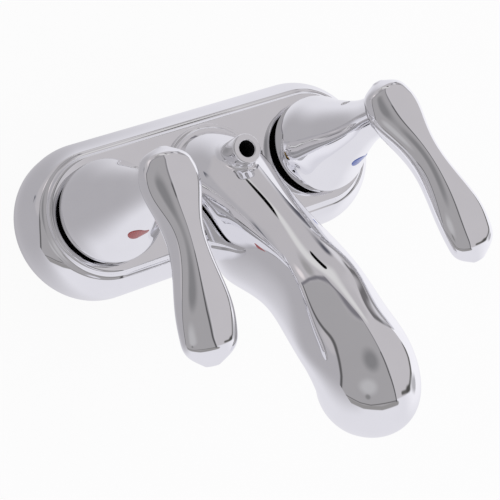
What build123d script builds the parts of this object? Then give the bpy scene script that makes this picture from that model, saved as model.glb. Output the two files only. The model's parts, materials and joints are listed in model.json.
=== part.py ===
from build123d import *
import math
import os

# Frame: millimetres, +Z up, origin at the middle of the faucet on the deck plane.
# The spout points towards -Y, hot is at -X and cold at +X.

# Cover plate, with round ends about the two valve axes
VALVE_CENTRES = 101.6
VALVE_X = VALVE_CENTRES / 2
PLATE_END_R = 32.0
PLATE_EDGE_H = 3.2
CREASE_R = 26.3
CREASE_Z = 17.9
FLANK_BULGE = (31.0, 11.3)
TIER_R = 24.2
TIER_TOP_Z = 20.5
TIER_ROUND = 1.2
TIER_COVE = (24.4, 18.45)
PLATE_WALL = 2.4
PLATE_VALVE_HOLE_R = 12.2
PLATE_WATER_HOLE_R = 6.4
PLATE_ROD_HOLE_R = 4.8
PLATE_SCREW_HOLE_R = 2.3
CEILING_Z = TIER_TOP_Z - PLATE_WALL

# Deck gasket
GASKET_T = 1.6
GASKET_R = 28.9
GASKET_SHANK_HOLE_R = 11.0
GASKET_ROD_HOLE_R = 3.8

# Lift rod passage, behind the plate's long centre line
ROD_Y = 4.6
ROD_BORE_R = 3.35
ROD_GUIDE_R = 4.5
ROD_BOSS_R = 6.15
ROD_BOSS_TOP_Z = 53.5
ROD_BOSS_LOW_Z = 36.0
ROD_BOSS_EDGE = 0.7

# Spout: one row for each section square to its run, from the foot to the outlet.
# Middle y and z, tilt of the section's normal above -Y in degrees, half width, half height,
# squareness (2 is an ellipse) and how much wider the underside is than the top.
SPOUT_SECTIONS = (
    (1.2, TIER_TOP_Z, 90, 20.0, 20.0, 2.0, 0.0),
    (-4.0, 30.2, 70.7, 18.8, 17.5, 2.17, 0.03),
    (-15.0, 35.1, 47.0, 18.2, 18.8, 2.39, 0.05),
    (-30.6, 42.5, 24.8, 18.7, 21.9, 2.51, 0.16),
    (-53.2, 64.1, 14.9, 16.8, 17.0, 3.3, 0.06),
    (-74.1, 74.6, 7.5, 20.3, 17.9, 1.9, 0.09),
    (-85.7, 79.2, -22.7, 20.3, 20.5, 2.1, 0.09),
    (-98.1, 72.9, -54.0, 18.2, 20.9, 2.0, -0.02),
    (-98.4, 66.2, -75.0, 16.0, 16.7, 2.0, 0.0),
)
SPOUT_WALL = 2.6
SPOUT_FOOT_R = 21.9
SPOUT_FOOT_H = 2.6
FOOT_SINK = 2.0
OUTLET_WALL = 4.0

# Two bosses inside the spout take its screws
SCREW_X = 11.5
SCREW_Y = 6.0
SCREW_BOSS_R = 3.4
SCREW_BOSS_H = 8.5
SCREW_R = 2.0
SCREW_HEAD_R = 3.6
SCREW_HEAD_H = 2.4
SCREW_DEPTH = 7.0
SCREW_TIP_GAP = 1.0
SCREW_DRIVE_R = 1.3
SCREW_DRIVE_H = 1.2

# Waterway under and inside the spout
WATER_Y = -8.0
TEE_SIZE = (24.0, 15.0, 12.0)
TEE_Y = -7.0
TEE_Z = 10.0
TEE_EDGE_R = 2.0
NIPPLE_R = 4.6
NIPPLE_TOP_Z = 33.0
NIPPLE_BORE_R = 3.2
NIPPLE_RING_Z = (25.0, 29.5)
RING_SECTION = 0.75
RING_CORNER = 0.6
CROSS_R = 6.0
CROSS_BORE_R = 4.8
CROSS_Y = -6.0
CROSS_START_X = 10.0
CROSS_END_X = 39.0
WAY_R = 6.3
WAY_BORE_R = 5.0
WAY_BEND_R = 14.0
WAY_NOSE_R = 7.5
WAY_FOOT_Z = 20.8
WAY_POINTS = ((-8.0, 40.0), (-36.0, 50.0), (-60.0, 69.0))
WAY_DROP = 10.6

# Outlet and aerator, along the last section's normal
AERATOR_R = 11.8
AERATOR_BORE_R = 10.3
AERATOR_LIP_R = 13.0
AERATOR_LIP_H = 2.6
AERATOR_LIP_ROUND = 0.6
AERATOR_LIP_GAP = 0.1
AERATOR_CUP_R = 11.75
AERATOR_DEPTH = 10.0
AERATOR_SEAT_H = 1.5
AERATOR_SEAT_R = 8.0
INSERT_R = 10.2
INSERT_H = 6.0
INSERT_SUNK = 1.0
INSERT_HOLE_R = 1.0
INSERT_RINGS = ((1, 0.0), (6, 3.3), (12, 6.6))
WASHER_T = 1.6
WASHER_R = 11.4

# Valve bodies and their threaded inlet shanks
SHANK_R = 10.45
SHANK_BORE_R = 6.5
SHANK_LOW_Z = -48.0
SHANK_GROOVE_Z = -30.0
SHANK_GROOVE_H = 1.0
SHANK_GROOVE_R = 9.6
SHANK_CHAMFER = 1.2
BODY_R = 14.0
BODY_LOW_Z = 3.0
NECK_R = 11.9
NECK_TOP_Z = 26.6
CARTRIDGE_BORE_R = 9.3
SEAT_Z = 6.5
SEAT_WALL = 3.0
SEAT_HOLE_R = 4.6
PORT_BOSS_R = 7.8
PORT_BOSS_REACH = 4.0

# Bonnet nuts that clamp the plate on the valve bodies
BONNET_FLAT_R = 13.8
BONNET_CORNER_R = 15.2
BONNET_CHAMFER = 1.0
BONNET_LOW_Z = 20.6
BONNET_TOP_Z = 25.6
BONNET_BORE_R = 12.05

# Ceramic cartridges
SHELL_R = 9.2
SHELL_BORE_R = 8.0
SHELL_FLANGE_R = 11.4
SHELL_FLANGE_TOP_Z = 30.5
SHELL_TOP_R = 6.6
SHELL_TOP_Z = 35.5
SHELL_LOW_Z = 12.0
STEM_R = 4.0
STEM_BORE_CLEARANCE = 0.05
WINDOW_W = 6.0
WINDOW_LOW_Z = 18.0
WINDOW_TOP_Z = 22.5
SEAL_R = 7.9
SEAL_BORE_R = 5.0
DISC_R = 7.85
FIXED_DISC_LOW_Z = 12.0
DISC_H = 3.0
DISC_GAP = 0.02
PORT_R = 2.6
PORT_OFFSET = 4.0
FOOT_R = 7.6
FOOT_H = 3.0
FOOT_GAP = 0.1
STEM_TOP_Z = 61.0
STEM_CHAMFER = 0.5
STEM_RING_Z = 32.5
STEM_RING_GAP = 0.03
SHELL_RING_Z = 24.6
STEM_FLAT = 2.9
STEM_FLAT_LOW_Z = 50.5
CLIP_R = 6.2
CLIP_T = 0.9
CLIP_GAP = 0.15
CLIP_MOUTH = 3.0

# Hubs: bells of revolution round the valve axes, clear of the plate
HUB_RIM_Z = 23.4
HUB_RIM_EDGE = 0.4
HUB_PROFILE = (
    (20.9, 23.8),
    (20.6, 27.6),
    (17.5, 35.0),
    (13.7, 45.0),
    (10.6, 55.0),
    (8.7, 64.0),
    (8.3, 71.0),
)
HUB_TOP_R = 8.4
HUB_TOP_Z = 77.5
HUB_MOUTH_R = 19.0
HUB_CAVITY = ((18.7, 27.6), (15.4, 35.0), (11.6, 45.0), (9.9, 49.0))
HUB_WEB_R = 9.1
HUB_WEB_Z = 49.5
HUB_SOCKET_R = 4.05
HUB_SOCKET_TOP_Z = 62.0
LEVER_SCREW_R = 2.0
LEVER_SCREW_HEAD_R = 3.6
LEVER_SCREW_HEAD_H = 2.5
LEVER_SCREW_HEAD_GAP = 0.1
LEVER_SCREW_TIP_GAP = 0.5
LEVER_SCREW_TOP_Z = 82.0
SET_SCREW_Z = 56.0
SET_SCREW_R = 2.0
SET_SCREW_OUTER = 9.2
SET_SCREW_KEY_R = 1.1
SET_SCREW_KEY_H = 2.0

# Index marks: drop-shaped inlays under the levers, with a round end and a blunt tip
MARK_Z = 45.9
MARK_TURN = 4.0
MARK_SHIFT = 0.3
MARK_LENGTH = 8.8
MARK_ROUND_R = 3.2
MARK_TIP_R = 0.9
MARK_DEPTH = 0.5

# Levers: one row for each section square to the run, from the back of the head to the tip.
# Distance out from the valve axis, height of the middle, half width, half height.
LEVER_SPLAY = 9.4
LEVER_SECTIONS = (
    (-11.3, 81.6, 2.4, 1.6),
    (-9.6, 81.7, 6.4, 3.8),
    (-5.6, 82.0, 10.2, 5.4),
    (1.0, 82.3, 11.7, 6.2),
    (9.0, 82.9, 10.2, 6.6),
    (17.0, 84.2, 7.9, 6.7),
    (26.0, 86.2, 7.2, 6.3),
    (37.0, 87.9, 8.9, 6.0),
    (49.0, 88.6, 11.0, 5.7),
    (58.0, 88.0, 10.9, 5.3),
    (64.6, 87.0, 7.9, 4.0),
    (67.9, 86.3, 3.0, 1.8),
)
LEVER_POWER = 2.25

# Fasteners under the deck
NUT_TOP_Z = -14.0
NUT_H = 11.0
NUT_R = 14.5
NUT_WING_R = 20.5
NUT_WING_W = 6.0
NUT_WINGS = 4
NUT_BORE_R = 10.6
NUT_ROUND = 1.5
MOUNT_WASHER_T = 1.6
MOUNT_WASHER_R = 17.5

# How far a cutter runs past the face that it opens
PAST = 1.0

OUT = "parts"


def ring(outer, inner, low, high):
    """Flat ring round the Z axis."""
    body = Cylinder(outer, high - low, align=(Align.CENTER, Align.CENTER, Align.MIN))
    hole = Cylinder(inner, high - low, align=(Align.CENTER, Align.CENTER, Align.MIN))
    return Pos(0, 0, low) * (body - hole)


def rod(radius, low, high):
    """Solid cylinder along the Z axis."""
    return Pos(0, 0, low) * Cylinder(radius, high - low, align=(Align.CENTER, Align.CENTER, Align.MIN))


def seal_ring(inner, outer, middle):
    """O-ring round the Z axis, as it sits squeezed in its groove."""
    half = (outer - inner) / 2
    face = RectangleRounded(2 * half, 2 * half, RING_CORNER * half)
    return around(Plane.XZ * Pos((inner + outer) / 2, middle) * face)


def around(profile):
    """Turns a face drawn in the XZ plane once round the Z axis."""
    return revolve(profile, Axis.Z)


def both_ends(profile):
    """Carries a half profile round both valve axes and along the straight between them."""
    straight = extrude(profile, amount=VALVE_X, both=True, dir=(1, 0, 0))
    straight = straight + mirror(straight, Plane.XZ)
    end = Pos(VALVE_X, 0, 0) * around(profile)
    return straight + end + mirror(end, Plane.YZ)


def plate_outline():
    """Outer half profile of the cover plate, in the YZ plane."""
    top = Line((0, TIER_TOP_Z), (TIER_R - TIER_ROUND, TIER_TOP_Z))
    side = (TIER_R, TIER_TOP_Z - TIER_ROUND)
    corner = TangentArc((TIER_R - TIER_ROUND, TIER_TOP_Z), side, tangent=(1, 0))
    cove = Bezier(side, TIER_COVE, (CREASE_R, CREASE_Z))
    flank = ThreePointArc((CREASE_R, CREASE_Z), FLANK_BULGE, (PLATE_END_R, PLATE_EDGE_H))
    edge = Line((PLATE_END_R, PLATE_EDGE_H), (PLATE_END_R, 0))
    base = Line((PLATE_END_R, 0), (0, 0))
    axis = Line((0, 0), (0, TIER_TOP_Z))
    return Plane.YZ * make_face(Curve() + [top, corner, cove, flank, edge, base, axis])


def plate_hollow():
    """Inner half profile of the cover plate, one wall inside the outer one."""
    skirt = PLATE_END_R - PLATE_WALL
    points = [
        (0, CEILING_Z),
        (TIER_R - PLATE_WALL, CEILING_Z),
        (CREASE_R - PLATE_WALL, CREASE_Z - PLATE_WALL),
        (FLANK_BULGE[0] - PLATE_WALL, FLANK_BULGE[1] - PLATE_WALL),
        (skirt, PLATE_EDGE_H),
        (skirt, 0),
        (0, 0),
    ]
    return Plane.YZ * make_face(Polyline(*points, close=True))


def cover_plate():
    """Hollow plate with holes for the valves, the water, the lift rod and the spout's screws."""
    plate = both_ends(plate_outline()) - both_ends(plate_hollow())
    for side in (-1, 1):
        plate -= Pos(side * VALVE_X, 0, 0) * rod(PLATE_VALVE_HOLE_R, 0, TIER_TOP_Z + PAST)
        plate -= Pos(side * SCREW_X, SCREW_Y, 0) * rod(PLATE_SCREW_HOLE_R, 0, TIER_TOP_Z + PAST)
    plate -= Pos(0, WATER_Y, 0) * rod(PLATE_WATER_HOLE_R, 0, TIER_TOP_Z + PAST)
    plate -= Pos(0, ROD_Y, 0) * rod(PLATE_ROD_HOLE_R, 0, TIER_TOP_Z + PAST)
    return plate


def base_gasket():
    """Rubber sheet inside the plate's rim."""
    sheet = extrude(SlotCenterToCenter(VALVE_CENTRES, 2 * GASKET_R), GASKET_T)
    for side in (-1, 1):
        sheet -= Pos(side * VALVE_X, 0, 0) * rod(GASKET_SHANK_HOLE_R, 0, GASKET_T)
    return sheet - Pos(0, ROD_Y, 0) * rod(GASKET_ROD_HOLE_R, 0, GASKET_T)


def egg_half(middle, up, half_w, half_h, power, taper):
    """Right half of a squared ellipse, from its underside to its top, as two smooth curves."""
    handle = (8 * 2 ** (-1 / power) - 4) / 3
    lower = ((0, -1), (handle, -1), (1, -handle), (1, 0))
    upper = ((1, 0), (1, handle), (handle, 1), (0, 1))
    curves = []
    for quarter in (lower, upper):
        places = [middle + Vector(half_w * u * (1 - taper * v), 0, 0) + up * (half_h * v) for u, v in quarter]
        curves.append(Bezier(*places))
    return Wire(curves)


def skin(halves):
    """Solid through half sections, doubled across the middle plane and closed by flat ends."""
    right = Shell.make_loft(halves).faces()
    left = [mirror(face, Plane.YZ) for face in right]
    ends = []
    for half in (halves[0], halves[-1]):
        outline = half.edges() + mirror(half, Plane.YZ).edges()
        ends.append(make_face(outline).face())
    return Solid(Shell([*right, *left, *ends]))


def spout_half(row, inset=0.0, back=0.0):
    """Half of one section of the spout, drawn in by inset and moved back up the run by back."""
    y, z, tilt, half_w, half_h, power, taper = row
    sine, cosine = math.sin(math.radians(tilt)), math.cos(math.radians(tilt))
    middle = Vector(0, y + back * cosine, z - back * sine)
    return egg_half(middle, Vector(0, sine, cosine), half_w - inset, half_h - inset, power, taper)


def spout_outside():
    """Whole outer form of the spout, solid, trimmed at the plate's top."""
    halves = [spout_half(SPOUT_SECTIONS[0], 0, FOOT_SINK)]
    halves += [spout_half(row) for row in SPOUT_SECTIONS[1:]]
    trim = Box(VALVE_CENTRES, 2 * VALVE_CENTRES, TIER_TOP_Z, align=(Align.CENTER, Align.CENTER, Align.MIN))
    return Part() + skin(halves) - trim


def spout_inside():
    """Hollow of the spout, open at the foot and closed by the outlet wall."""
    halves = [spout_half(SPOUT_SECTIONS[0], SPOUT_WALL, 2 * FOOT_SINK)]
    halves += [spout_half(row, SPOUT_WALL) for row in SPOUT_SECTIONS[1:-1]]
    halves.append(spout_half(SPOUT_SECTIONS[-1], SPOUT_WALL, OUTLET_WALL))
    return skin(halves)


def outlet_place():
    """Frame at the outlet: its Z axis points the way the water leaves."""
    y, z, tilt = SPOUT_SECTIONS[-1][:3]
    angle = math.radians(tilt)
    return Plane(origin=(0, y, z), x_dir=(1, 0, 0), z_dir=(0, -math.cos(angle), math.sin(angle)))


def spout_shell(outside, inside):
    """Cast spout: foot ring, hollow, screw bosses and the outlet's socket."""
    foot_y = SPOUT_SECTIONS[0][0]
    foot_r = SPOUT_SECTIONS[0][3]
    reach = SPOUT_FOOT_R - foot_r
    low, high = TIER_TOP_Z, TIER_TOP_Z + SPOUT_FOOT_H
    base = Line((foot_r - reach, low), (SPOUT_FOOT_R, low))
    cove = RadiusArc((SPOUT_FOOT_R, low), (foot_r - reach / 4, high), -2 * SPOUT_FOOT_H)
    back = Polyline((foot_r - reach / 4, high), (foot_r - reach, high), (foot_r - reach, low))
    foot = Pos(0, foot_y, 0) * around(Plane.XZ * make_face(Curve() + [base, cove, back]))
    shell = outside - inside + foot
    for side in (-1, 1):
        place = Pos(side * SCREW_X, SCREW_Y, 0)
        shell += place * rod(SCREW_BOSS_R, TIER_TOP_Z, TIER_TOP_Z + SCREW_BOSS_H)
        shell -= place * rod(SCREW_R, TIER_TOP_Z - PAST, TIER_TOP_Z + SCREW_DEPTH)
    shell -= Pos(0, ROD_Y, 0) * rod(ROD_GUIDE_R, TIER_TOP_Z, ROD_BOSS_TOP_Z)
    return shell - outlet_place() * rod(AERATOR_R, -OUTLET_WALL - PAST, PAST)


def spout_screws():
    """Two screws up through the plate into the spout's bosses."""
    screw = rod(SCREW_R, CEILING_Z - SCREW_HEAD_H, TIER_TOP_Z + SCREW_DEPTH - SCREW_TIP_GAP)
    screw += rod(SCREW_HEAD_R, CEILING_Z - SCREW_HEAD_H, CEILING_Z)
    screw -= Pos(0, 0, CEILING_Z - SCREW_HEAD_H) * extrude(
        RegularPolygon(SCREW_DRIVE_R, 6), SCREW_DRIVE_H
    )
    return Compound(children=[Pos(side * SCREW_X, SCREW_Y, 0) * screw for side in (-1, 1)])


def lift_rod_guide(outside):
    """Sleeve for the lift rod, with a round boss that seats on the spout's top."""
    boss = rod(ROD_BOSS_R, ROD_BOSS_LOW_Z, ROD_BOSS_TOP_Z)
    boss = fillet(boss.edges().group_by(Axis.Z)[-1], ROD_BOSS_EDGE)
    boss = Pos(0, ROD_Y, 0) * boss - outside
    sleeve = boss + Pos(0, ROD_Y, 0) * rod(ROD_GUIDE_R, TIER_TOP_Z, ROD_BOSS_TOP_Z - ROD_BOSS_EDGE)
    return sleeve - Pos(0, ROD_Y, 0) * rod(ROD_BORE_R, 0, ROD_BOSS_TOP_Z + PAST)


def spout_tee():
    """Block that joins the two crossover tubes and carries the nipple for the spout."""
    block = Pos(0, TEE_Y, TEE_Z) * fillet(Box(*TEE_SIZE).edges().filter_by(Axis.Z), TEE_EDGE_R)
    tee = block + Pos(0, WATER_Y, 0) * rod(NIPPLE_R, TEE_Z, NIPPLE_TOP_Z)
    tee -= Pos(0, WATER_Y, 0) * rod(NIPPLE_BORE_R, TEE_Z, NIPPLE_TOP_Z)
    for height in NIPPLE_RING_Z:
        groove = ring(NIPPLE_R + PAST, NIPPLE_R - RING_SECTION, height - RING_SECTION, height + RING_SECTION)
        tee -= Pos(0, WATER_Y, 0) * groove
    along = Pos(0, CROSS_Y, TEE_Z) * Rot(0, 90, 0)
    tee -= along * rod(CROSS_BORE_R, -TEE_SIZE[0], TEE_SIZE[0])
    tee -= along * rod(CROSS_R, CROSS_START_X, TEE_SIZE[0])
    return tee - along * rod(CROSS_R, -TEE_SIZE[0], -CROSS_START_X)


def spout_tee_o_rings():
    """Two rings that seal the nipple in the spout's tube."""
    inner = NIPPLE_R - RING_SECTION
    rings = [seal_ring(inner, WAY_BORE_R, height) for height in NIPPLE_RING_Z]
    return Compound(children=[Pos(0, WATER_Y, 0) * one for one in rings])


def crossover_tube(side):
    """Tube from a valve body to the tee."""
    tube = Rot(0, 90, 0) * ring(CROSS_R, CROSS_BORE_R, CROSS_START_X, CROSS_END_X)
    return Pos(0, CROSS_Y, TEE_Z) * (tube if side > 0 else mirror(tube, Plane.YZ))


def spout_waterway_tube():
    """Bent tube from the nipple to the back of the aerator."""
    place = outlet_place()
    end = place.origin - place.z_dir * (AERATOR_DEPTH + WASHER_T)
    corner = end - place.z_dir * WAY_DROP
    points = [Vector(0, WATER_Y, WAY_FOOT_Z)]
    points += [Vector(0, y, z) for y, z in WAY_POINTS]
    points.append((points[-1] + corner) * 0.5)
    rise = FilletPolyline(*points, radius=WAY_BEND_R)
    drop = FilletPolyline(points[-1], corner, end, radius=WAY_NOSE_R)
    path = Curve() + [rise, drop]
    start = Plane(origin=points[0], z_dir=(0, 0, 1))
    return sweep(start * Circle(WAY_R), path=path) - sweep(start * Circle(WAY_BORE_R), path=path)


def aerator_housing():
    """Threaded cup in the outlet, with a lip outside it."""
    lip = rod(AERATOR_LIP_R, AERATOR_LIP_GAP, AERATOR_LIP_H)
    lip = fillet(lip.edges().group_by(Axis.Z)[-1], AERATOR_LIP_ROUND)
    cup = lip + rod(AERATOR_CUP_R, -AERATOR_DEPTH, AERATOR_LIP_H / 2)
    cup -= rod(AERATOR_BORE_R, -AERATOR_DEPTH + AERATOR_SEAT_H, AERATOR_LIP_H)
    cup -= rod(AERATOR_SEAT_R, -AERATOR_DEPTH, 0)
    return outlet_place() * cup


def aerator_insert():
    """Flow straightener: a disc pierced by rings of holes."""
    top = AERATOR_LIP_H - INSERT_SUNK
    plate = rod(INSERT_R, top - INSERT_H, top)
    for count, radius in INSERT_RINGS:
        for step in range(count):
            turn = math.tau * step / count
            place = Pos(radius * math.cos(turn), radius * math.sin(turn), 0)
            plate -= place * rod(INSERT_HOLE_R, -AERATOR_DEPTH, AERATOR_LIP_H)
    return outlet_place() * plate


def aerator_washer():
    """Rubber washer between the aerator and the tube."""
    return outlet_place() * ring(WASHER_R, WAY_BORE_R, -AERATOR_DEPTH - WASHER_T, -AERATOR_DEPTH)


def hot_valve_body():
    """Brass body on the Z axis: inlet shank, chamber, side port and the neck for the cartridge."""
    body = rod(SHANK_R, SHANK_LOW_Z, BODY_LOW_Z)
    body = chamfer(body.edges().group_by(Axis.Z)[0], SHANK_CHAMFER)
    body += rod(BODY_R, BODY_LOW_Z, CEILING_Z) + rod(NECK_R, BODY_LOW_Z, NECK_TOP_Z)
    to_tee = Pos(0, CROSS_Y, TEE_Z) * Rot(0, 90, 0)
    tube_end = VALVE_X - CROSS_END_X
    body += to_tee * rod(PORT_BOSS_R, 0, tube_end + PORT_BOSS_REACH)
    body -= ring(SHANK_R + PAST, SHANK_GROOVE_R, SHANK_GROOVE_Z, SHANK_GROOVE_Z + SHANK_GROOVE_H)
    body -= rod(SHANK_BORE_R, SHANK_LOW_Z, SEAT_Z - SEAT_WALL)
    body -= rod(SEAT_HOLE_R, SHANK_LOW_Z, SEAT_Z)
    body -= rod(CARTRIDGE_BORE_R, SEAT_Z, NECK_TOP_Z)
    body -= to_tee * rod(CROSS_R, tube_end, tube_end + 2 * PORT_BOSS_REACH)
    body -= to_tee * rod(CROSS_BORE_R, 0, tube_end)
    return body


def bonnet_nut():
    """Six-sided nut on the valve body's neck."""
    hexagon = RegularPolygon(BONNET_FLAT_R, 6, major_radius=False)
    flats = Pos(0, 0, BONNET_LOW_Z) * extrude(hexagon, BONNET_TOP_Z - BONNET_LOW_Z)
    dome = rod(BONNET_CORNER_R, BONNET_LOW_Z, BONNET_TOP_Z)
    dome = chamfer(dome.edges().group_by(Axis.Z)[-1], BONNET_CHAMFER)
    return (flats & dome) - rod(BONNET_BORE_R, BONNET_LOW_Z, BONNET_TOP_Z)


def cartridge_shell():
    """Brass shell that holds the discs and guides the stem."""
    shell = rod(SHELL_R, SHELL_LOW_Z, NECK_TOP_Z) + rod(SHELL_FLANGE_R, NECK_TOP_Z, SHELL_FLANGE_TOP_Z)
    shell += rod(SHELL_TOP_R, SHELL_FLANGE_TOP_Z, SHELL_TOP_Z)
    disc_top = FIXED_DISC_LOW_Z + 2 * DISC_H + DISC_GAP
    shell -= rod(SHELL_BORE_R, SHELL_LOW_Z, disc_top + FOOT_H + FOOT_GAP)
    shell -= rod(STEM_R + STEM_BORE_CLEARANCE, SHELL_LOW_Z, SHELL_TOP_Z)
    window = Box(3 * SHELL_R, WINDOW_W, WINDOW_TOP_Z - WINDOW_LOW_Z)
    shell -= Pos(0, 0, (WINDOW_TOP_Z + WINDOW_LOW_Z) / 2) * window
    low = SHELL_RING_Z - RING_SECTION
    return shell - ring(SHELL_R + PAST, SHELL_R - RING_SECTION, low, low + 2 * RING_SECTION)


def disc(low):
    """Ceramic disc with two ports."""
    plain = rod(DISC_R, low, low + DISC_H)
    for side in (-1, 1):
        plain -= Pos(side * PORT_OFFSET, 0, 0) * rod(PORT_R, low, low + DISC_H)
    return plain


def seat_seal():
    """Rubber sleeve that presses the fixed disc up from the seat."""
    return ring(SEAL_R, SEAL_BORE_R, SEAT_Z, FIXED_DISC_LOW_Z)


def stem():
    """Spindle: a foot that turns the upper disc, a shaft and two flats for the set screw."""
    foot_low = FIXED_DISC_LOW_Z + 2 * DISC_H + DISC_GAP
    spindle = rod(FOOT_R, foot_low, foot_low + FOOT_H) + rod(STEM_R, foot_low, STEM_TOP_Z)
    spindle = chamfer(spindle.edges().group_by(Axis.Z)[-1], STEM_CHAMFER)
    height = STEM_TOP_Z - STEM_FLAT_LOW_Z
    flat = Pos(0, STEM_FLAT + STEM_R, STEM_FLAT_LOW_Z + height / 2) * Box(3 * STEM_R, 2 * STEM_R, height)
    spindle -= flat
    low = STEM_RING_Z - RING_SECTION
    spindle -= ring(STEM_R + PAST, STEM_R - RING_SECTION, low, low + 2 * RING_SECTION)
    clip_low = SHELL_TOP_Z + CLIP_GAP
    return spindle - ring(STEM_R + PAST, STEM_R - RING_SECTION, clip_low, clip_low + CLIP_T)


def stem_clip():
    """Open spring clip in the stem's groove, just above the shell."""
    low = SHELL_TOP_Z + CLIP_GAP
    clip = ring(CLIP_R, STEM_R - RING_SECTION, low, low + CLIP_T)
    return clip - Pos(0, CLIP_R, low) * Box(CLIP_MOUTH, 2 * CLIP_R, 4 * CLIP_T)


def hub_outside():
    """Bell-shaped outer form of a hub, solid."""
    rim_r = HUB_PROFILE[0][0]
    side = Spline(*HUB_PROFILE, (HUB_TOP_R, HUB_TOP_Z))
    top = Polyline((HUB_TOP_R, HUB_TOP_Z), (0, HUB_TOP_Z), (0, HUB_RIM_Z))
    rim = Polyline((0, HUB_RIM_Z), (rim_r - HUB_RIM_EDGE, HUB_RIM_Z), HUB_PROFILE[0])
    return around(Plane.XZ * make_face(Curve() + [side, top, rim]))


def hub_hollow():
    """Space inside a hub, round the bonnet nut and the cartridge."""
    mouth = (HUB_MOUTH_R, HUB_RIM_Z)
    side = Spline(mouth, *HUB_CAVITY)
    rest = Polyline(HUB_CAVITY[-1], (HUB_WEB_R, HUB_WEB_Z), (0, HUB_WEB_Z), (0, HUB_RIM_Z), mouth)
    return around(Plane.XZ * make_face(Curve() + [side, rest]))


def hub_core():
    """Hub's outer form drawn in by the depth of the index mark."""
    drawn_in = [(r - MARK_DEPTH, z) for r, z in HUB_PROFILE]
    side = Spline(*drawn_in)
    rest = Polyline(drawn_in[-1], (0, drawn_in[-1][1]), (0, drawn_in[0][1]), drawn_in[0])
    return around(Plane.XZ * make_face(Curve() + [side, rest]))


def lever_solid():
    """Lever with a round head, a narrow neck and a broad tip, pointing to -Y."""
    halves = []
    for out, z, half_w, half_h in LEVER_SECTIONS:
        halves.append(egg_half(Vector(0, -out, z), Vector(0, 0, 1), half_w, half_h, LEVER_POWER, 0))
    return Part() + skin(halves)


def index_prism():
    """Drop-shaped bar through the hub's front wall, at the height of the mark."""
    apart = MARK_LENGTH - MARK_ROUND_R - MARK_TIP_R
    turn = math.acos((MARK_ROUND_R - MARK_TIP_R) / apart)
    round_x = MARK_SHIFT + (MARK_ROUND_R - MARK_TIP_R - apart) / 2
    tip_x = round_x + apart
    upper = (round_x + MARK_ROUND_R * math.cos(turn), MARK_ROUND_R * math.sin(turn))
    upper_tip = (tip_x + MARK_TIP_R * math.cos(turn), MARK_TIP_R * math.sin(turn))
    lower, lower_tip = (upper[0], -upper[1]), (upper_tip[0], -upper_tip[1])
    nose = ThreePointArc(upper, (round_x - MARK_ROUND_R, 0), lower)
    tip = ThreePointArc(lower_tip, (tip_x + MARK_TIP_R, 0), upper_tip)
    shape = make_face(Curve() + [nose, Line(lower, lower_tip), tip, Line(upper_tip, upper)])
    front = Plane(origin=(0, 0, MARK_Z), x_dir=(1, 0, 0), z_dir=(0, -1, 0))
    return Rot(0, 0, MARK_TURN) * extrude(front * shape, 2 * VALVE_X)


def lever_screw():
    """Screw from inside the hub up into the lever."""
    head_top = HUB_SOCKET_TOP_Z + LEVER_SCREW_HEAD_H
    screw = rod(LEVER_SCREW_HEAD_R, HUB_SOCKET_TOP_Z, head_top)
    screw += rod(LEVER_SCREW_R, head_top, LEVER_SCREW_TOP_Z - LEVER_SCREW_TIP_GAP)
    return screw - Pos(0, 0, HUB_SOCKET_TOP_Z) * extrude(RegularPolygon(SCREW_DRIVE_R, 6), SCREW_DRIVE_H)


def set_screw():
    """Headless screw that presses on the stem's flat, on the Z axis."""
    screw = rod(SET_SCREW_R, STEM_FLAT, SET_SCREW_OUTER)
    key = extrude(RegularPolygon(SET_SCREW_KEY_R, 6), SET_SCREW_KEY_H)
    return screw - Pos(0, 0, SET_SCREW_OUTER - SET_SCREW_KEY_H) * key


def handle_pieces():
    """All pieces of one handle, on the Z axis with the lever pointing to -Y."""
    outside = hub_outside()
    lever = lever_solid()
    mark = index_prism() & (outside - hub_core())
    hub = outside - hub_hollow() - lever - mark
    head_top = HUB_SOCKET_TOP_Z + LEVER_SCREW_HEAD_H
    tapped = rod(LEVER_SCREW_R, head_top, LEVER_SCREW_TOP_Z)
    hub -= rod(HUB_SOCKET_R, HUB_WEB_Z, HUB_SOCKET_TOP_Z)
    hub -= rod(LEVER_SCREW_HEAD_R + LEVER_SCREW_HEAD_GAP, HUB_SOCKET_TOP_Z, head_top) + tapped
    backwards = Pos(0, 0, SET_SCREW_Z) * Rot(-90, 0, 0)
    hub -= backwards * rod(SET_SCREW_R, STEM_FLAT, 2 * SET_SCREW_OUTER)
    inner, outer = STEM_R - RING_SECTION, STEM_R + STEM_BORE_CLEARANCE - STEM_RING_GAP
    return {
        "hub": hub,
        "lever": lever - tapped,
        "index_mark": mark,
        "lever_screw": lever_screw(),
        "set_screw": backwards * set_screw(),
        "stem": stem(),
        "stem_clip": stem_clip(),
        "stem_o_ring": seal_ring(inner, outer, STEM_RING_Z),
        "moving_disc": disc(FIXED_DISC_LOW_Z + DISC_H + DISC_GAP),
    }


def fixed_pieces():
    """Pieces of one valve that don't turn, on the Z axis."""
    return {
        "bonnet_nut": bonnet_nut(),
        "cartridge_shell": cartridge_shell(),
        "fixed_disc": disc(FIXED_DISC_LOW_Z),
        "seat_seal": seat_seal(),
        "cartridge_o_ring": seal_ring(SHELL_R - RING_SECTION, CARTRIDGE_BORE_R, SHELL_RING_Z),
        "mounting_washer": ring(MOUNT_WASHER_R, NUT_BORE_R, NUT_TOP_Z, NUT_TOP_Z + MOUNT_WASHER_T),
        "mounting_nut": mounting_nut(),
    }


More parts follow.
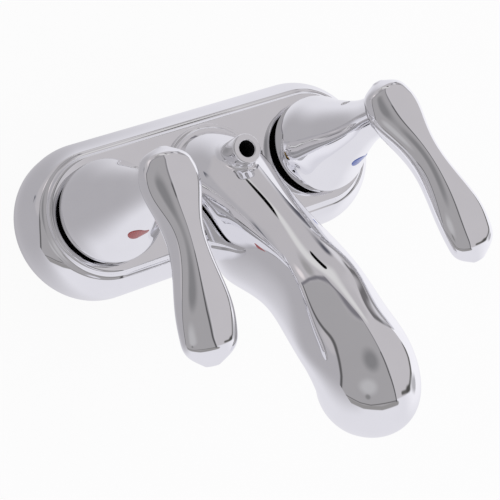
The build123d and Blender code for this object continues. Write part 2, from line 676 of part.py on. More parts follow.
def mounting_nut():
    """Plastic nut with wings, for turning by hand under the deck."""
    low = NUT_TOP_Z - NUT_H
    nut = rod(NUT_R, low, NUT_TOP_Z)
    wing = Pos(0, 0, low + NUT_H / 2) * Box(2 * NUT_WING_R, NUT_WING_W, NUT_H)
    for step in range(NUT_WINGS // 2):
        nut += Rot(0, 0, 360 * step / NUT_WINGS) * wing
    nut = fillet(nut.edges().filter_by(Axis.Z), NUT_ROUND)
    return nut - rod(NUT_BORE_R, low, NUT_TOP_Z)


def save(name, shape):
    """Writes one piece to its own file."""
    export_step(shape, os.path.join(OUT, name + ".step"))


def main():
    os.makedirs(OUT, exist_ok=True)
    outside = spout_outside()
    inside = spout_inside()
    save("cover_plate", cover_plate())
    save("base_gasket", base_gasket())
    save("spout_shell", spout_shell(outside, inside))
    save("spout_screws", spout_screws())
    save("lift_rod_guide", lift_rod_guide(outside))
    save("spout_tee", spout_tee())
    save("spout_tee_o_rings", spout_tee_o_rings())
    save("spout_waterway_tube", spout_waterway_tube())
    save("aerator_housing", aerator_housing())
    save("aerator_insert", aerator_insert())
    save("aerator_washer", aerator_washer())
    fixed = fixed_pieces()
    turning = handle_pieces()
    for side, water in ((-1, "hot"), (1, "cold")):
        body = hot_valve_body() if side < 0 else mirror(hot_valve_body(), Plane.YZ)
        save(water + "_valve_body", Pos(side * VALVE_X, 0, 0) * body)
        save(water + "_crossover_tube", crossover_tube(side))
        place = Pos(side * VALVE_X, 0, 0)
        for name, piece in fixed.items():
            save(water + "_" + name, place * piece)
        for name, piece in turning.items():
            save(water + "_" + name, place * Rot(0, 0, side * LEVER_SPLAY) * piece)


main()
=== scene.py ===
"""Dressed scene of a two-handle bathroom faucet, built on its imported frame."""
import json
import logging
import math
from collections.abc import Callable, Iterable, Sequence
from dataclasses import dataclass
from enum import Enum

import bmesh
import bpy
import numpy as np
from mathutils import Matrix, Vector
from mathutils.bvhtree import BVHTree


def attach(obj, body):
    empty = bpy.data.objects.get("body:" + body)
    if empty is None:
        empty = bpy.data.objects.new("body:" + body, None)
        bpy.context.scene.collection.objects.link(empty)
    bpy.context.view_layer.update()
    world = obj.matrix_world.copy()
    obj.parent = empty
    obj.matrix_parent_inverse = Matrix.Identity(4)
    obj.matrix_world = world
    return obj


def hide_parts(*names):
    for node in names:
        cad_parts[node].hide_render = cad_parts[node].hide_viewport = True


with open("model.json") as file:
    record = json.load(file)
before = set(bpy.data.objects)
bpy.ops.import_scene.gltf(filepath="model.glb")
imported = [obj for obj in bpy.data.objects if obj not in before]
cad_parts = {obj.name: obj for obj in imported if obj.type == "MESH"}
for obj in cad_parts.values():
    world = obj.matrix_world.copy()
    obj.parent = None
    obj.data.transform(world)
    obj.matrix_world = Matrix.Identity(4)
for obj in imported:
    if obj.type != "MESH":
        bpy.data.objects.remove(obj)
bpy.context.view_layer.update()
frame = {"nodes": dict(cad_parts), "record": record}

LOG = logging.getLogger("faucet")
Pair = tuple[float, float]
Row = tuple[float, ...]
Tree = bpy.types.NodeTree
Socket = bpy.types.NodeSocket
VECTOR_MATH = "ShaderNodeVectorMath"
WHITE = (1.0, 1.0, 1.0, 1.0)

# Lengths are in millimetres, and a mesh takes them times this
MM = 0.001
# Points nearer than this become one, and the pole of a turned piece is a circle hardly wider
MERGE_DISTANCE = 0.002
POLE_R = 0.004

# Places that several pieces share
VALVE_X = 50.8
TIER_TOP_Z = 20.5
ROD_Y = 4.6
SHANK_LOW_Z = -48.0


class Slot(Enum):
    """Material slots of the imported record."""

    CHROME = "chrome"
    BRASS = "brass"
    STEEL = "steel"
    RUBBER = "rubber_black"
    CERAMIC = "ceramic_white"
    PLASTIC = "plastic_grey"
    RED = "inlay_red"
    BLUE = "inlay_blue"


class Side(Enum):
    """The two valves: the sign of their X and the name in their nodes."""

    HOT = -1
    COLD = 1

    @property
    def label(self) -> str:
        """Name that the side's nodes begin with."""
        return self.name.lower()

    @property
    def body(self) -> str:
        """Body that the side's handle rides on."""
        return f"{self.label}_handle"

    @property
    def mark_slot(self) -> Slot:
        """Slot of the side's index mark."""
        return Slot.RED if self is Side.HOT else Slot.BLUE


def srgb(code: str) -> Row:
    """Converts a hex colour.

    Args:
        code: Six hex digits of an sRGB colour.

    Returns:
        The linear colour with alpha 1.
    """
    parts = [int(code[i:i + 2], 16) / 255 for i in (0, 2, 4)]
    return tuple(p / 12.92 if p <= 0.04045 else ((p + 0.055) / 1.055) ** 2.4 for p in parts) + (1.0,)


def add_node(tree: Tree, kind: str, values: dict | None = None, links: dict | None = None,
             **settings: object) -> bpy.types.Node:
    """Adds a node with its settings and links.

    Args:
        tree: Node tree.
        kind: Type name of the node.
        values: Value for each plain input, by name or number.
        links: Output socket for each linked input, by name or number.
        settings: Value for each property.

    Returns:
        The node.
    """
    node = tree.nodes.new(kind)
    for name, value in settings.items():
        setattr(node, name, value)
    for key, value in (values or {}).items():
        node.inputs[key].default_value = value
    for key, socket in (links or {}).items():
        tree.links.new(socket, node.inputs[key])
    return node


class Track:
    """Smooth curve through rows of numbers: natural cubic splines over the chord length."""

    def __init__(self, rows: Sequence[Row]) -> None:
        """Solves the splines.

        Args:
            rows: One row of numbers for each station; the first two give its place.
        """
        self.rows = np.array(rows, float)
        steps = np.linalg.norm(np.diff(self.rows[:, :2], axis=0), axis=1)
        self.keys = np.concatenate(([0.0], np.cumsum(steps)))
        self.bends = self._bends()

    def _bends(self) -> np.ndarray:
        """Solves for the second derivatives, which are zero at both ends.

        Returns:
            One row for each station.
        """
        count = len(self.keys)
        gaps = np.diff(self.keys)
        system = np.eye(count)
        right = np.zeros(self.rows.shape)
        for i in range(1, count - 1):
            system[i, i - 1:i + 2] = (gaps[i - 1], 2 * (gaps[i - 1] + gaps[i]), gaps[i])
            slopes = np.diff(self.rows[i - 1:i + 2], axis=0) / gaps[i - 1:i + 1, None]
            right[i] = 6 * (slopes[1] - slopes[0])
        return np.linalg.solve(system, right)

    def at(self, place: float) -> np.ndarray:
        """Finds the row of numbers at a place on the curve.

        Args:
            place: Distance along the chords.

        Returns:
            The row.
        """
        i = int(np.clip(np.searchsorted(self.keys, place) - 1, 0, len(self.keys) - 2))
        gap = self.keys[i + 1] - self.keys[i]
        a = (self.keys[i + 1] - place) / gap
        b = 1 - a
        bent = ((a ** 3 - a) * self.bends[i] + (b ** 3 - b) * self.bends[i + 1]) * gap ** 2 / 6
        return a * self.rows[i] + b * self.rows[i + 1] + bent

    def walk(self, count: int) -> list[np.ndarray]:
        """Rows at even steps from the first station to the last."""
        return [self.at(place) for place in np.linspace(self.keys[0], self.keys[-1], count)]


def unit_loop(power: float, quarter: int) -> np.ndarray:
    """Closed squared circle of half size 1, from its underside round by the right.

    Args:
        power: Squareness, 2 for a circle.
        quarter: Steps in each quarter.

    Returns:
        Array of 4 * quarter points.
    """
    handle = (8 * 2 ** (-1 / power) - 4) / 3
    s = np.linspace(0, 1, quarter + 1)[:, None]
    poles = np.array(((0, -1), (handle, -1), (1, -handle), (1, 0)))
    weights = np.hstack(((1 - s) ** 3, 3 * (1 - s) ** 2 * s, 3 * (1 - s) * s ** 2, s ** 3))
    lower = weights @ poles
    upper = lower[::-1] * (1, -1)
    right = np.vstack((lower[:-1], upper))
    left = right[::-1][1:-1] * (-1, 1)
    return np.vstack((right, left))


def circle(radius: float, count: int) -> np.ndarray:
    """Points round a circle in its own plane."""
    turn = np.arange(count) * math.tau / count
    return radius * np.column_stack((np.cos(turn), np.sin(turn)))


def rounding(corner_a: Pair, corner_b: Pair, centre: Pair, steps: int) -> list[Pair]:
    """Rounds a corner by a quarter of an ellipse that bulges away from its centre.

    Args:
        corner_a: First point.
        corner_b: Last point.
        centre: Centre of the ellipse.
        steps: Steps between the two points.

    Returns:
        The points, both ends included.
    """
    a, b, c = (np.array(p, float) for p in (corner_a, corner_b, centre))
    turns = np.linspace(0, math.pi / 2, steps + 1)
    return [tuple(c + (a - c) * math.cos(t) + (b - c) * math.sin(t)) for t in turns]


def bend(start: Pair, corner: Pair, end: Pair, steps: int) -> list[Pair]:
    """Points of a hollow curve that leaves and arrives towards its corner."""
    a, b, c = (np.array(p, float) for p in (start, corner, end))
    return [tuple((1 - s) ** 2 * a + 2 * s * (1 - s) * b + s * s * c) for s in np.linspace(0, 1, steps + 1)]


class Mesh:
    """Piece under construction."""

    def __init__(self, name: str, data: bpy.types.Mesh) -> None:
        """Takes a mesh over.

        Args:
            name: Name of the object.
            data: Its mesh, in metres.
        """
        self.name = name
        self.data = data
        self.data.name = name
        self.lining: bpy.types.Material | None = None

    @classmethod
    def lofted(cls, name: str, rows: Sequence[np.ndarray], ring: bool = False) -> "Mesh":
        """Skin over loops of points.

        Args:
            name: Name of the object.
            rows: Loops of points, all of one length.
            ring: Whether the last loop joins the first, instead of a face on each.

        Returns:
            The piece, with its faces outwards.
        """
        rows = [np.asarray(row, float) for row in rows]
        width, count = len(rows[0]), len(rows)
        faces = []
        for i in range(count if ring else count - 1):
            a, b = i * width, ((i + 1) % count) * width
            for j in range(width):
                k = (j + 1) % width
                faces.append((a + j, a + k, b + k, b + j))
        if not ring:
            faces.append(tuple(range(width))[::-1])
            faces.append(tuple(range((count - 1) * width, count * width)))
        data = bpy.data.meshes.new(name)
        data.from_pydata((np.vstack(rows) * MM).tolist(), [], faces)
        return cls(name, data).outward()

    @classmethod
    def turned(cls, name: str, profile: Iterable[Pair], count: int = 128, at: Pair = (0.0, 0.0),
               ring: bool = False) -> "Mesh":
        """Piece turned about a vertical axis.

        Args:
            name: Name of the piece.
            profile: Radius and height of each point, from one end of the axis to the other.
            count: Steps round the axis.
            at: Place of the axis.
            ring: Whether the profile closes on itself.

        Returns:
            The piece.
        """
        rows = []
        for radius, z in profile:
            flat = circle(max(radius, POLE_R), count) + at
            rows.append(np.column_stack((flat, np.full(count, z))))
        return cls.lofted(name, rows, ring)

    @classmethod
    def drill(cls, at: Pair, radius: float, low: float, high: float, count: int = 64) -> "Mesh":
        """Cutter for a vertical hole."""
        return cls.turned("drill", ((radius, low), (radius, high)), count, at)

    @classmethod
    def of_node(cls, name: str, node: str) -> "Mesh":
        """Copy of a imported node's mesh, with its loose triangles joined."""
        return cls(name, frame["nodes"][node].data.copy()).outward()

    def edited(self, change: Callable[[bmesh.types.BMesh], None]) -> "Mesh":
        """Runs a bmesh change on the mesh.

        Args:
            change: What is done to the bmesh.

        Returns:
            The same piece.
        """
        bm = bmesh.new()
        bm.from_mesh(self.data)
        change(bm)
        bm.to_mesh(self.data)
        bm.free()
        return self

    def outward(self) -> "Mesh":
        """Merges points that coincide and turns all faces outwards.

        Returns:
            The same piece.
        """
        def change(bm: bmesh.types.BMesh) -> None:
            """Merges and turns."""
            bmesh.ops.remove_doubles(bm, verts=bm.verts, dist=MERGE_DISTANCE * MM)
            bmesh.ops.recalc_face_normals(bm, faces=bm.faces)
        return self.edited(change)

    def placed(self, matrix: Matrix) -> "Mesh":
        """Moves the points."""
        self.data.transform(matrix)
        return self

    def joined(self, *others: "Mesh") -> "Mesh":
        """Takes the faces of other pieces in.

        Args:
            others: The pieces, which are used up.

        Returns:
            The same piece.
        """
        def change(bm: bmesh.types.BMesh) -> None:
            """Adds the other meshes."""
            for other in others:
                bm.from_mesh(other.data)
        self.edited(change)
        for other in others:
            bpy.data.meshes.remove(other.data)
        return self

    def smooth(self, sharp_deg: float = 34.0) -> "Mesh":
        """Shades smoothly, apart from sharp edges.

        Args:
            sharp_deg: Angle in degrees past which an edge is sharp.

        Returns:
            The same piece.
        """
        self.data.shade_smooth()
        self.data.set_sharp_from_angle(angle=math.radians(sharp_deg))
        return self

    def cut(self, *cutters: "Mesh") -> "Mesh":
        """Takes the space of other pieces away.

        Args:
            cutters: The pieces, which are used up.

        Returns:
            The same piece.
        """
        body = bpy.data.objects.new(self.name, self.data)
        bpy.context.scene.collection.objects.link(body)
        tools = []
        for cutter in cutters:
            tool = bpy.data.objects.new(cutter.name, cutter.data)
            bpy.context.scene.collection.objects.link(tool)
            tools.append(tool)
            modifier = body.modifiers.new(cutter.name, "BOOLEAN")
            modifier.operation, modifier.solver, modifier.object = "DIFFERENCE", "EXACT", tool
        graph = bpy.context.evaluated_depsgraph_get()
        whole = bpy.data.meshes.new_from_object(body.evaluated_get(graph))
        for thing in (body, *tools):
            data = thing.data
            bpy.data.objects.remove(thing)
            bpy.data.meshes.remove(data)
        self.data = whole
        self.data.name = self.name
        return self

    def lined(self, material: bpy.types.Material, inside: Callable[[Vector, Vector], bool]) -> "Mesh":
        """Gives some faces a second material.

        Args:
            material: The second material.
            inside: Whether a face gets it, by its centre in metres and its normal.

        Returns:
            The same piece.
        """
        self.lining = material
        for face in self.data.polygons:
            face.material_index = int(inside(face.center, face.normal))
        return self

    def put(self, body: str, slot: Slot, *stands_for: str) -> bpy.types.Object:
        """Makes the finished object.

        Args:
            body: Body that it rides on.
            slot: Its material slot.
            stands_for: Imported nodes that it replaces.

        Returns:
            The object.
        """
        thing = bpy.data.objects.new(self.name, self.data)
        bpy.context.scene.collection.objects.link(thing)
        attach(thing, body)
        if stands_for:
            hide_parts(*stands_for)
        kinds = [face.material_index if self.lining else 0 for face in self.data.polygons]
        thing.data.materials.clear()
        for material in (FINISHES[slot], self.lining):
            if material:
                thing.data.materials.append(material)
        self.data.polygons.foreach_set("material_index", kinds)
        LOG.info("%s: %d faces", self.name, len(self.data.polygons))
        return thing


@dataclass(frozen=True)
class Finish:
    """Procedural finish of one real material, or of painted shade, on Object coordinates.

    Attributes:
        name: Common name of the material.
        slot: Slot that it belongs to.
        dark: Darker sRGB colour of its variation.
        light: Lighter sRGB colour.
        metallic: 1 for a metal.
        rough: Least and greatest roughness.
        patch_mm: Size of the clouds of the variation.
        relief_mm: Height of the fine relief.
        grain_mm: Width of the relief's grain.
        stretch: How much finer the grain is along X, Y and Z than its width.
        coat: Weight of a clear coat.
        cloud_span: Noise values between which the variation runs.
        details: Noise octaves of the clouds and of the grain.
    """

    name: str
    slot: Slot
    dark: str
    light: str
    metallic: float
    rough: Pair
    patch_mm: float
    relief_mm: float
    grain_mm: float
    stretch: Row = (1.0, 1.0, 1.0)
    coat: float = 0.0
    cloud_span: Pair = (0.3, 0.7)
    details: Pair = (3.0, 2.0)

    def material(self) -> bpy.types.Material:
        """Builds the material.

        Returns:
            The material.
        """
        made = bpy.data.materials.new(self.name)
        made.use_nodes = True
        tree = made.node_tree
        tree.nodes.clear()
        place = add_node(tree, "ShaderNodeTexCoord").outputs["Object"]
        drawn = add_node(tree, "ShaderNodeMapping", {"Scale": self.stretch}, {"Vector": place}).outputs[0]
        size = {"Scale": 1 / (self.patch_mm * MM), "Detail": self.details[0]}
        cloud = add_node(tree, "ShaderNodeTexNoise", size, {"Vector": place}).outputs["Fac"]
        size = {"Scale": 1 / (self.grain_mm * MM), "Detail": self.details[1]}
        grain = add_node(tree, "ShaderNodeTexNoise", size, {"Vector": drawn}).outputs["Fac"]
        span = {"From Min": self.cloud_span[0], "From Max": self.cloud_span[1]}
        span |= {"To Min": self.rough[0], "To Max": self.rough[1]}
        rough = add_node(tree, "ShaderNodeMapRange", span, {"Value": cloud})
        colours = {6: srgb(self.dark), 7: srgb(self.light)}
        tint = add_node(tree, "ShaderNodeMix", colours, {"Factor": cloud}, data_type="RGBA")
        bump = add_node(tree, "ShaderNodeBump", {"Distance": self.relief_mm * MM}, {"Height": grain})
        sockets = {"Base Color": tint.outputs[2], "Roughness": rough.outputs[0], "Normal": bump.outputs[0]}
        values = {"Metallic": self.metallic, "Coat Weight": self.coat}
        shader = add_node(tree, "ShaderNodeBsdfPrincipled", values, sockets)
        add_node(tree, "ShaderNodeOutputMaterial", links={"Surface": shader.outputs[0]})
        return made


FINISH_LIST = (
    # Bright nickel and chrome plate on a buffed casting: a mirror, with the buffing's faint swells
    Finish("chrome_plate", Slot.CHROME, "F2F2F4", "F8F8FA", metallic=1.0, rough=(0.01, 0.03),
           patch_mm=11.0, relief_mm=0.0003, grain_mm=6.3),
    # Free-cutting brass off the lathe: rings of tool marks, drawn coarser than their 0.1 mm feed
    Finish("turned_brass", Slot.BRASS, "A8853F", "C9A75C", metallic=1.0, rough=(0.2, 0.36),
           patch_mm=4.0, relief_mm=0.006, grain_mm=2.4, stretch=(1.0, 1.0, 6.0)),
    # Stainless steel, pressed and tumbled: a soft grey sheen with small dents
    Finish("stainless_steel", Slot.STEEL, "9C9EA1", "B9BBBE", metallic=1.0, rough=(0.24, 0.4),
           patch_mm=3.3, relief_mm=0.004, grain_mm=0.6),
    # Moulded nitrile rubber: matt black with a dusty bloom
    Finish("nitrile_rubber", Slot.RUBBER, "141414", "232324", metallic=0.0, rough=(0.6, 0.8),
           patch_mm=3.3, relief_mm=0.01, grain_mm=0.6),
    # Lapped alumina ceramic: warm white, dense and almost glossy
    Finish("alumina_ceramic", Slot.CERAMIC, "DEDAD0", "F0EDE4", metallic=0.0, rough=(0.12, 0.25),
           patch_mm=2.5, relief_mm=0.001, grain_mm=0.7),
    # Injection-moulded acetal: even grey with a fine spark-eroded texture
    Finish("moulded_acetal", Slot.PLASTIC, "85878B", "96989C", metallic=0.0, rough=(0.38, 0.55),
           patch_mm=4.5, relief_mm=0.01, grain_mm=0.7),
    # Glossy acrylic resin poured into the mark: clear colour with slight clouds
    Finish("red_acrylic", Slot.RED, "A0282C", "C8524C", metallic=0.0, rough=(0.12, 0.22),
           patch_mm=2.0, relief_mm=0.002, grain_mm=1.1, coat=0.5),
    Finish("blue_acrylic", Slot.BLUE, "2F4FB4", "4F74D0", metallic=0.0, rough=(0.12, 0.22),
           patch_mm=2.0, relief_mm=0.002, grain_mm=1.1, coat=0.5),
)
FINISHES = {finish.slot: finish.material() for finish in FINISH_LIST}
# Painted shade: near-black, dull paint for the deep bore of the lift rod's boss and the hollows of the handles' bells
PAINTED_SHADE_BLACK = Finish("cast_zinc", Slot.CHROME, "0C0C0D", "161617", metallic=0.0, rough=(0.7, 0.9),
                   patch_mm=3.3, relief_mm=0.02, grain_mm=0.7).material()


class Repeat:
    """Node tree for a shape that repeats."""

    def __init__(self, name: str, inputs: dict[str, float], slot: Slot) -> None:
        """Starts the tree with its inputs and output.

        Args:
            name: Name of the tree and of its piece.
            inputs: Each named input with its value.
            slot: Slot whose finish the shape gets.
        """
        self.name, self.values, self.slot = name, inputs, slot
        self.tree = bpy.data.node_groups.new(name, "GeometryNodeTree")
        for label, value in inputs.items():
            socket = self.tree.interface.new_socket(label, in_out="INPUT", socket_type="NodeSocketFloat")
            socket.default_value = value
        self.tree.interface.new_socket("Geometry", in_out="OUTPUT", socket_type="NodeSocketGeometry")
        self.given = add_node(self.tree, "NodeGroupInput").outputs

    def add(self, kind: str, values: dict | None = None, links: dict | None = None,
            **settings: object) -> Socket:
        """Adds a node and gives its first output."""
        return add_node(self.tree, kind, values, links, **settings).outputs[0]

    def baked(self, shape: Socket) -> Mesh:
        """Ends the tree at a shape, runs it and keeps a plain mesh.

        Args:
            shape: Socket of the shape.

        Returns:
            The piece.
        """
        real = self.add("GeometryNodeRealizeInstances", links={0: shape})
        paint = self.add("GeometryNodeSetMaterial", {"Material": FINISHES[self.slot]}, {0: real})
        add_node(self.tree, "NodeGroupOutput", links={0: paint})
        thing = bpy.data.objects.new(self.name, bpy.data.meshes.new(self.name))
        bpy.context.scene.collection.objects.link(thing)
        modifier = thing.modifiers.new(self.name, "NODES")
        modifier.node_group = self.tree
        for item in self.tree.interface.items_tree:
            if item.name in self.values:
                modifier[item.identifier] = self.values[item.name]
        graph = bpy.context.evaluated_depsgraph_get()
        data = bpy.data.meshes.new_from_object(thing.evaluated_get(graph))
        thing.modifiers.remove(modifier)
        shell = thing.data
        bpy.data.objects.remove(thing)
        bpy.data.meshes.remove(shell)
        return Mesh(self.name, data).outward()


@dataclass(frozen=True)
class CoverPlate:
    """Hollow chromed plate with round ends and a raised tier. Sizes in millimetres.

    Attributes:
        inset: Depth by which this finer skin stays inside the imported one.
        crease: Radius and height where the flank meets the cove below the tier.
        bulge: A point on the flank's arc.
        cove: Corner that the cove bends towards.
        top_margin: Ring of plain top next to the rounded edge, and the same on the ceiling.
    """

    inset: float = 0.015
    end_r: float = 32.0
    edge_h: float = 3.2
    rim_round: float = 0.5
    crease: Pair = (26.3, 17.9)
    bulge: Pair = (31.0, 11.3)
    cove: Pair = (24.4, 18.45)
    tier_r: float = 24.2
    tier_round: float = 1.2
    wall: float = 2.4
    valve_hole_r: float = 12.2
    water_y: float = -8.0
    water_hole_r: float = 6.4
    rod_hole_r: float = 4.8
    drill_reach: float = 10.0
    top_margin: Pair = (0.4, 0.6)
    sharp_deg: float = 32.0
    arc_steps: int = 72
    run_steps: int = 12
    flank_steps: int = 24
    cove_steps: int = 12
    round_steps: int = 8

    def loop(self, radius: float, z: float) -> np.ndarray:
        """Draws a loop at one distance from the line between the valve axes.

        Args:
            radius: The distance.
            z: Height of the loop.

        Returns:
            Its points.
        """
        points = []
        for side, start in ((1, -90), (-1, 90)):
            for step in range(self.arc_steps + 1):
                turn = math.radians(start + 180 * step / self.arc_steps)
                points.append((side * VALVE_X + radius * math.cos(turn), radius * math.sin(turn), z))
            for step in range(1, self.run_steps):
                along = VALVE_X * (1 - 2 * step / self.run_steps)
                points.append((side * along, side * radius, z))
        return np.array(points)

    def flank(self) -> list[Pair]:
        """Draws the arc from the edge through the bulge to the crease.

        Returns:
            Its points after the first.
        """
        # The three points as complex numbers give the middle of the circle through them
        a, b, c = (complex(*p) for p in ((self.end_r, self.edge_h), self.bulge, self.crease))
        w = (c - a) / (b - a)
        middle = a + (b - a) * (w - abs(w) ** 2) / (w - w.conjugate())
        radius = abs(a - middle)
        first = math.atan2((a - middle).imag, (a - middle).real)
        end = math.atan2((c - middle).imag, (c - middle).real)
        turns = np.linspace(first, end, self.flank_steps + 1)[1:]
        return [(middle.real + radius * math.cos(t), middle.imag + radius * math.sin(t)) for t in turns]

    def outside(self) -> list[Pair]:
        """Draws the profile from the rim's underside to the middle of the top.

        Returns:
            Distance from the line between the axes and height of each point.
        """
        centre = (self.tier_r - self.tier_round, TIER_TOP_Z - self.tier_round)
        points = [(self.end_r - self.rim_round, 0.0), (self.end_r, self.rim_round), (self.end_r, self.edge_h)]
        points += self.flank()
        points += bend(self.crease, self.cove, (self.tier_r, centre[1]), self.cove_steps)[1:]
        points += rounding((self.tier_r, centre[1]), (centre[0], TIER_TOP_Z), centre, self.round_steps)[1:]
        return points + [(centre[0] - self.top_margin[0], TIER_TOP_Z)]

    def inside(self) -> list[Pair]:
        """Draws the profile of the hollow, from its ceiling to the rim.

        Returns:
            Its points, as in outside.
        """
        wall = self.wall
        return [
            (self.tier_r - wall - self.top_margin[1], TIER_TOP_Z - wall), (self.tier_r - wall, TIER_TOP_Z - wall),
            (self.crease[0] - wall, self.crease[1] - wall), (self.bulge[0] - wall, self.bulge[1] - wall),
            (self.end_r - wall, self.edge_h), (self.end_r - wall, 0.0),
        ]

    def build(self) -> None:
        """Makes the plate with its holes."""
        skin = [self.loop(r - self.inset, z) for r, z in self.outside()]
        plate = Mesh.lofted("cover_plate_skin", [self.loop(r, z) for r, z in self.inside()] + skin)
        low, high = TIER_TOP_Z - self.drill_reach, TIER_TOP_Z + self.drill_reach
        holes = [Mesh.drill((side.value * VALVE_X, 0), self.valve_hole_r, low, high) for side in Side]
        holes.append(Mesh.drill((0, self.water_y), self.water_hole_r, low, high))
        holes.append(Mesh.drill((0, ROD_Y), self.rod_hole_r, low, high))
        plate.cut(*holes).smooth(self.sharp_deg)
        plate.put("base", Slot.CHROME, "cover_plate")


@dataclass(frozen=True)
class Spout:
    """Cast spout with its foot ring and the socket for the aerator. Sizes in millimetres.

    Attributes:
        sections: Middle y and z, tilt of the normal, half width, half height, squareness and taper.
        inset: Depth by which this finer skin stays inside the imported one.
        foot_depth: How far the foot ring reaches under the spout.
        foot_band: Height of the upper end of the ring's upright band.
        foot_bead: Radius of the bead over the band.
        foot_slope: Distances from the rim where the ring's sloping top starts and ends.
        socket_edge: Width and depth of the chamfer at the outlet's socket.
        rod_way_span: Lowest and highest height of the rod's way over the plate.
    """

    inset: float = 0.02
    sections: tuple[Row, ...] = (
        (1.2, 18.5, 90.0, 20.0, 20.0, 2.0, 0.0),
        (-4.0, 30.2, 70.7, 18.8, 17.5, 2.17, 0.03),
        (-15.0, 35.1, 47.0, 18.2, 18.8, 2.39, 0.05),
        (-30.6, 42.5, 24.8, 18.7, 21.9, 2.51, 0.16),
        (-53.2, 64.1, 14.9, 16.8, 17.0, 3.3, 0.06),
        (-74.1, 74.6, 7.5, 20.3, 17.9, 1.9, 0.09),
        (-85.7, 79.2, -22.7, 20.3, 20.5, 2.1, 0.09),
        (-98.1, 72.9, -54.0, 18.2, 20.9, 2.0, -0.02),
        (-98.4, 66.2, -75.0, 16.0, 16.7, 2.0, 0.0),
    )
    foot_r: float = 21.9
    foot_h: float = 2.6
    foot_depth: float = 4.5
    foot_edge: float = 0.2
    foot_band: float = 0.8
    foot_bead: float = 0.35
    foot_slope: Pair = (0.6, 2.3)
    outlet_round: float = 1.4
    socket_r: float = 11.8
    socket_edge: Pair = (0.2, 0.3)
    socket_depth: float = 3.0
    rod_way_r: float = 4.5
    rod_way_span: Pair = (-3.0, 50.0)
    rows_along: int = 190
    quarter: int = 28
    steps_round: int = 160
    rod_way_steps: int = 96
    outlet_steps: int = 6
    bead_steps: int = 4
    slope_steps: int = 8

    def loop(self, row: Sequence[float], inset: float = 0.0, back: float = 0.0) -> np.ndarray:
        """Draws the loop of one section.

        Args:
            row: The section's numbers, as in sections.
            inset: How far the loop is drawn in.
            back: How far it is moved back along its normal.

        Returns:
            Its points.
        """
        y, z, tilt, half_w, half_h, power, taper = row
        sine, cosine = math.sin(math.radians(tilt)), math.cos(math.radians(tilt))
        u, v = unit_loop(power, self.quarter).T
        across = (half_w - inset) * u * (1 - taper * v)
        rise = (half_h - inset) * v
        return np.column_stack((across, y + back * cosine + rise * sine, z - back * sine + rise * cosine))

    def outlet_loops(self) -> list[np.ndarray]:
        """Draws the rounded edge, flat face and socket at the outlet.

        Returns:
            Their loops.
        """
        row, edge = self.sections[-1], self.outlet_round
        turns = np.linspace(0, math.pi / 2, self.outlet_steps + 1)
        loops = [self.loop(row, edge * (1 - math.cos(t)), edge * (1 - math.sin(t))) for t in turns]
        wider, sunk = self.socket_edge
        for radius, depth in ((self.socket_r + wider, 0.0), (self.socket_r, sunk), (self.socket_r, self.socket_depth)):
            loops.append(self.loop((*row[:3], radius, radius, 2.0, 0.0), 0.0, depth))
        return loops

    def skin(self) -> Mesh:
        """Makes the whole outer skin, trimmed at the plate.

        Returns:
            The piece.
        """
        track = Track(self.sections)
        places = np.linspace(0, track.keys[-1] - self.outlet_round, self.rows_along)
        loops = [self.loop(track.at(place), self.inset) for place in places]
        shell = Mesh.lofted("spout_skin", loops + self.outlet_loops())

        def trim(bm: bmesh.types.BMesh) -> None:
            """Cuts off what lies under the plate's top.

            Args:
                bm: The skin.
            """
            everything = bm.verts[:] + bm.edges[:] + bm.faces[:]
            level = Vector((0, 0, TIER_TOP_Z * MM))
            bmesh.ops.bisect_plane(bm, geom=everything, plane_co=level, plane_no=(0, 0, -1), clear_outer=True)
            bmesh.ops.holes_fill(bm, edges=[e for e in bm.edges if e.is_boundary])
        return shell.edited(trim)

    def foot(self) -> Mesh:
        """Makes the ring that stands on the plate round the spout's foot.

        Returns:
            The piece.
        """
        low, high, rim = TIER_TOP_Z, TIER_TOP_Z + self.foot_h, self.foot_r
        band, bead, inner = low + self.foot_band, self.foot_bead, rim - self.foot_depth
        start, end = (rim - reach for reach in self.foot_slope)
        profile = [(inner, low), (rim - self.foot_edge, low), (rim, low + self.foot_edge), (rim, band)]
        profile += rounding((rim, band), (rim - bead, band + bead), (rim - bead, band), self.bead_steps)[1:]
        profile += rounding((start, band + bead), (end, high), (start, high), self.slope_steps)
        profile += [(inner, high)]
        return Mesh.turned("spout_foot", profile, self.steps_round, (0.0, self.sections[0][0]), ring=True)

    def build(self) -> BVHTree:
        """Makes the spout.

        Returns:
            Tree of its skin, which the boss is fitted to.
        """
        shell = self.skin()
        points = [v.co.copy() for v in shell.data.vertices]
        tree = BVHTree.FromPolygons(points, [tuple(p.vertices) for p in shell.data.polygons])
        low, high = (TIER_TOP_Z + reach for reach in self.rod_way_span)
        shell.cut(Mesh.drill((0, ROD_Y), self.rod_way_r, low, high, self.rod_way_steps))
        shell.joined(self.foot()).smooth().put("base", Slot.CHROME, "spout_shell")
        return tree


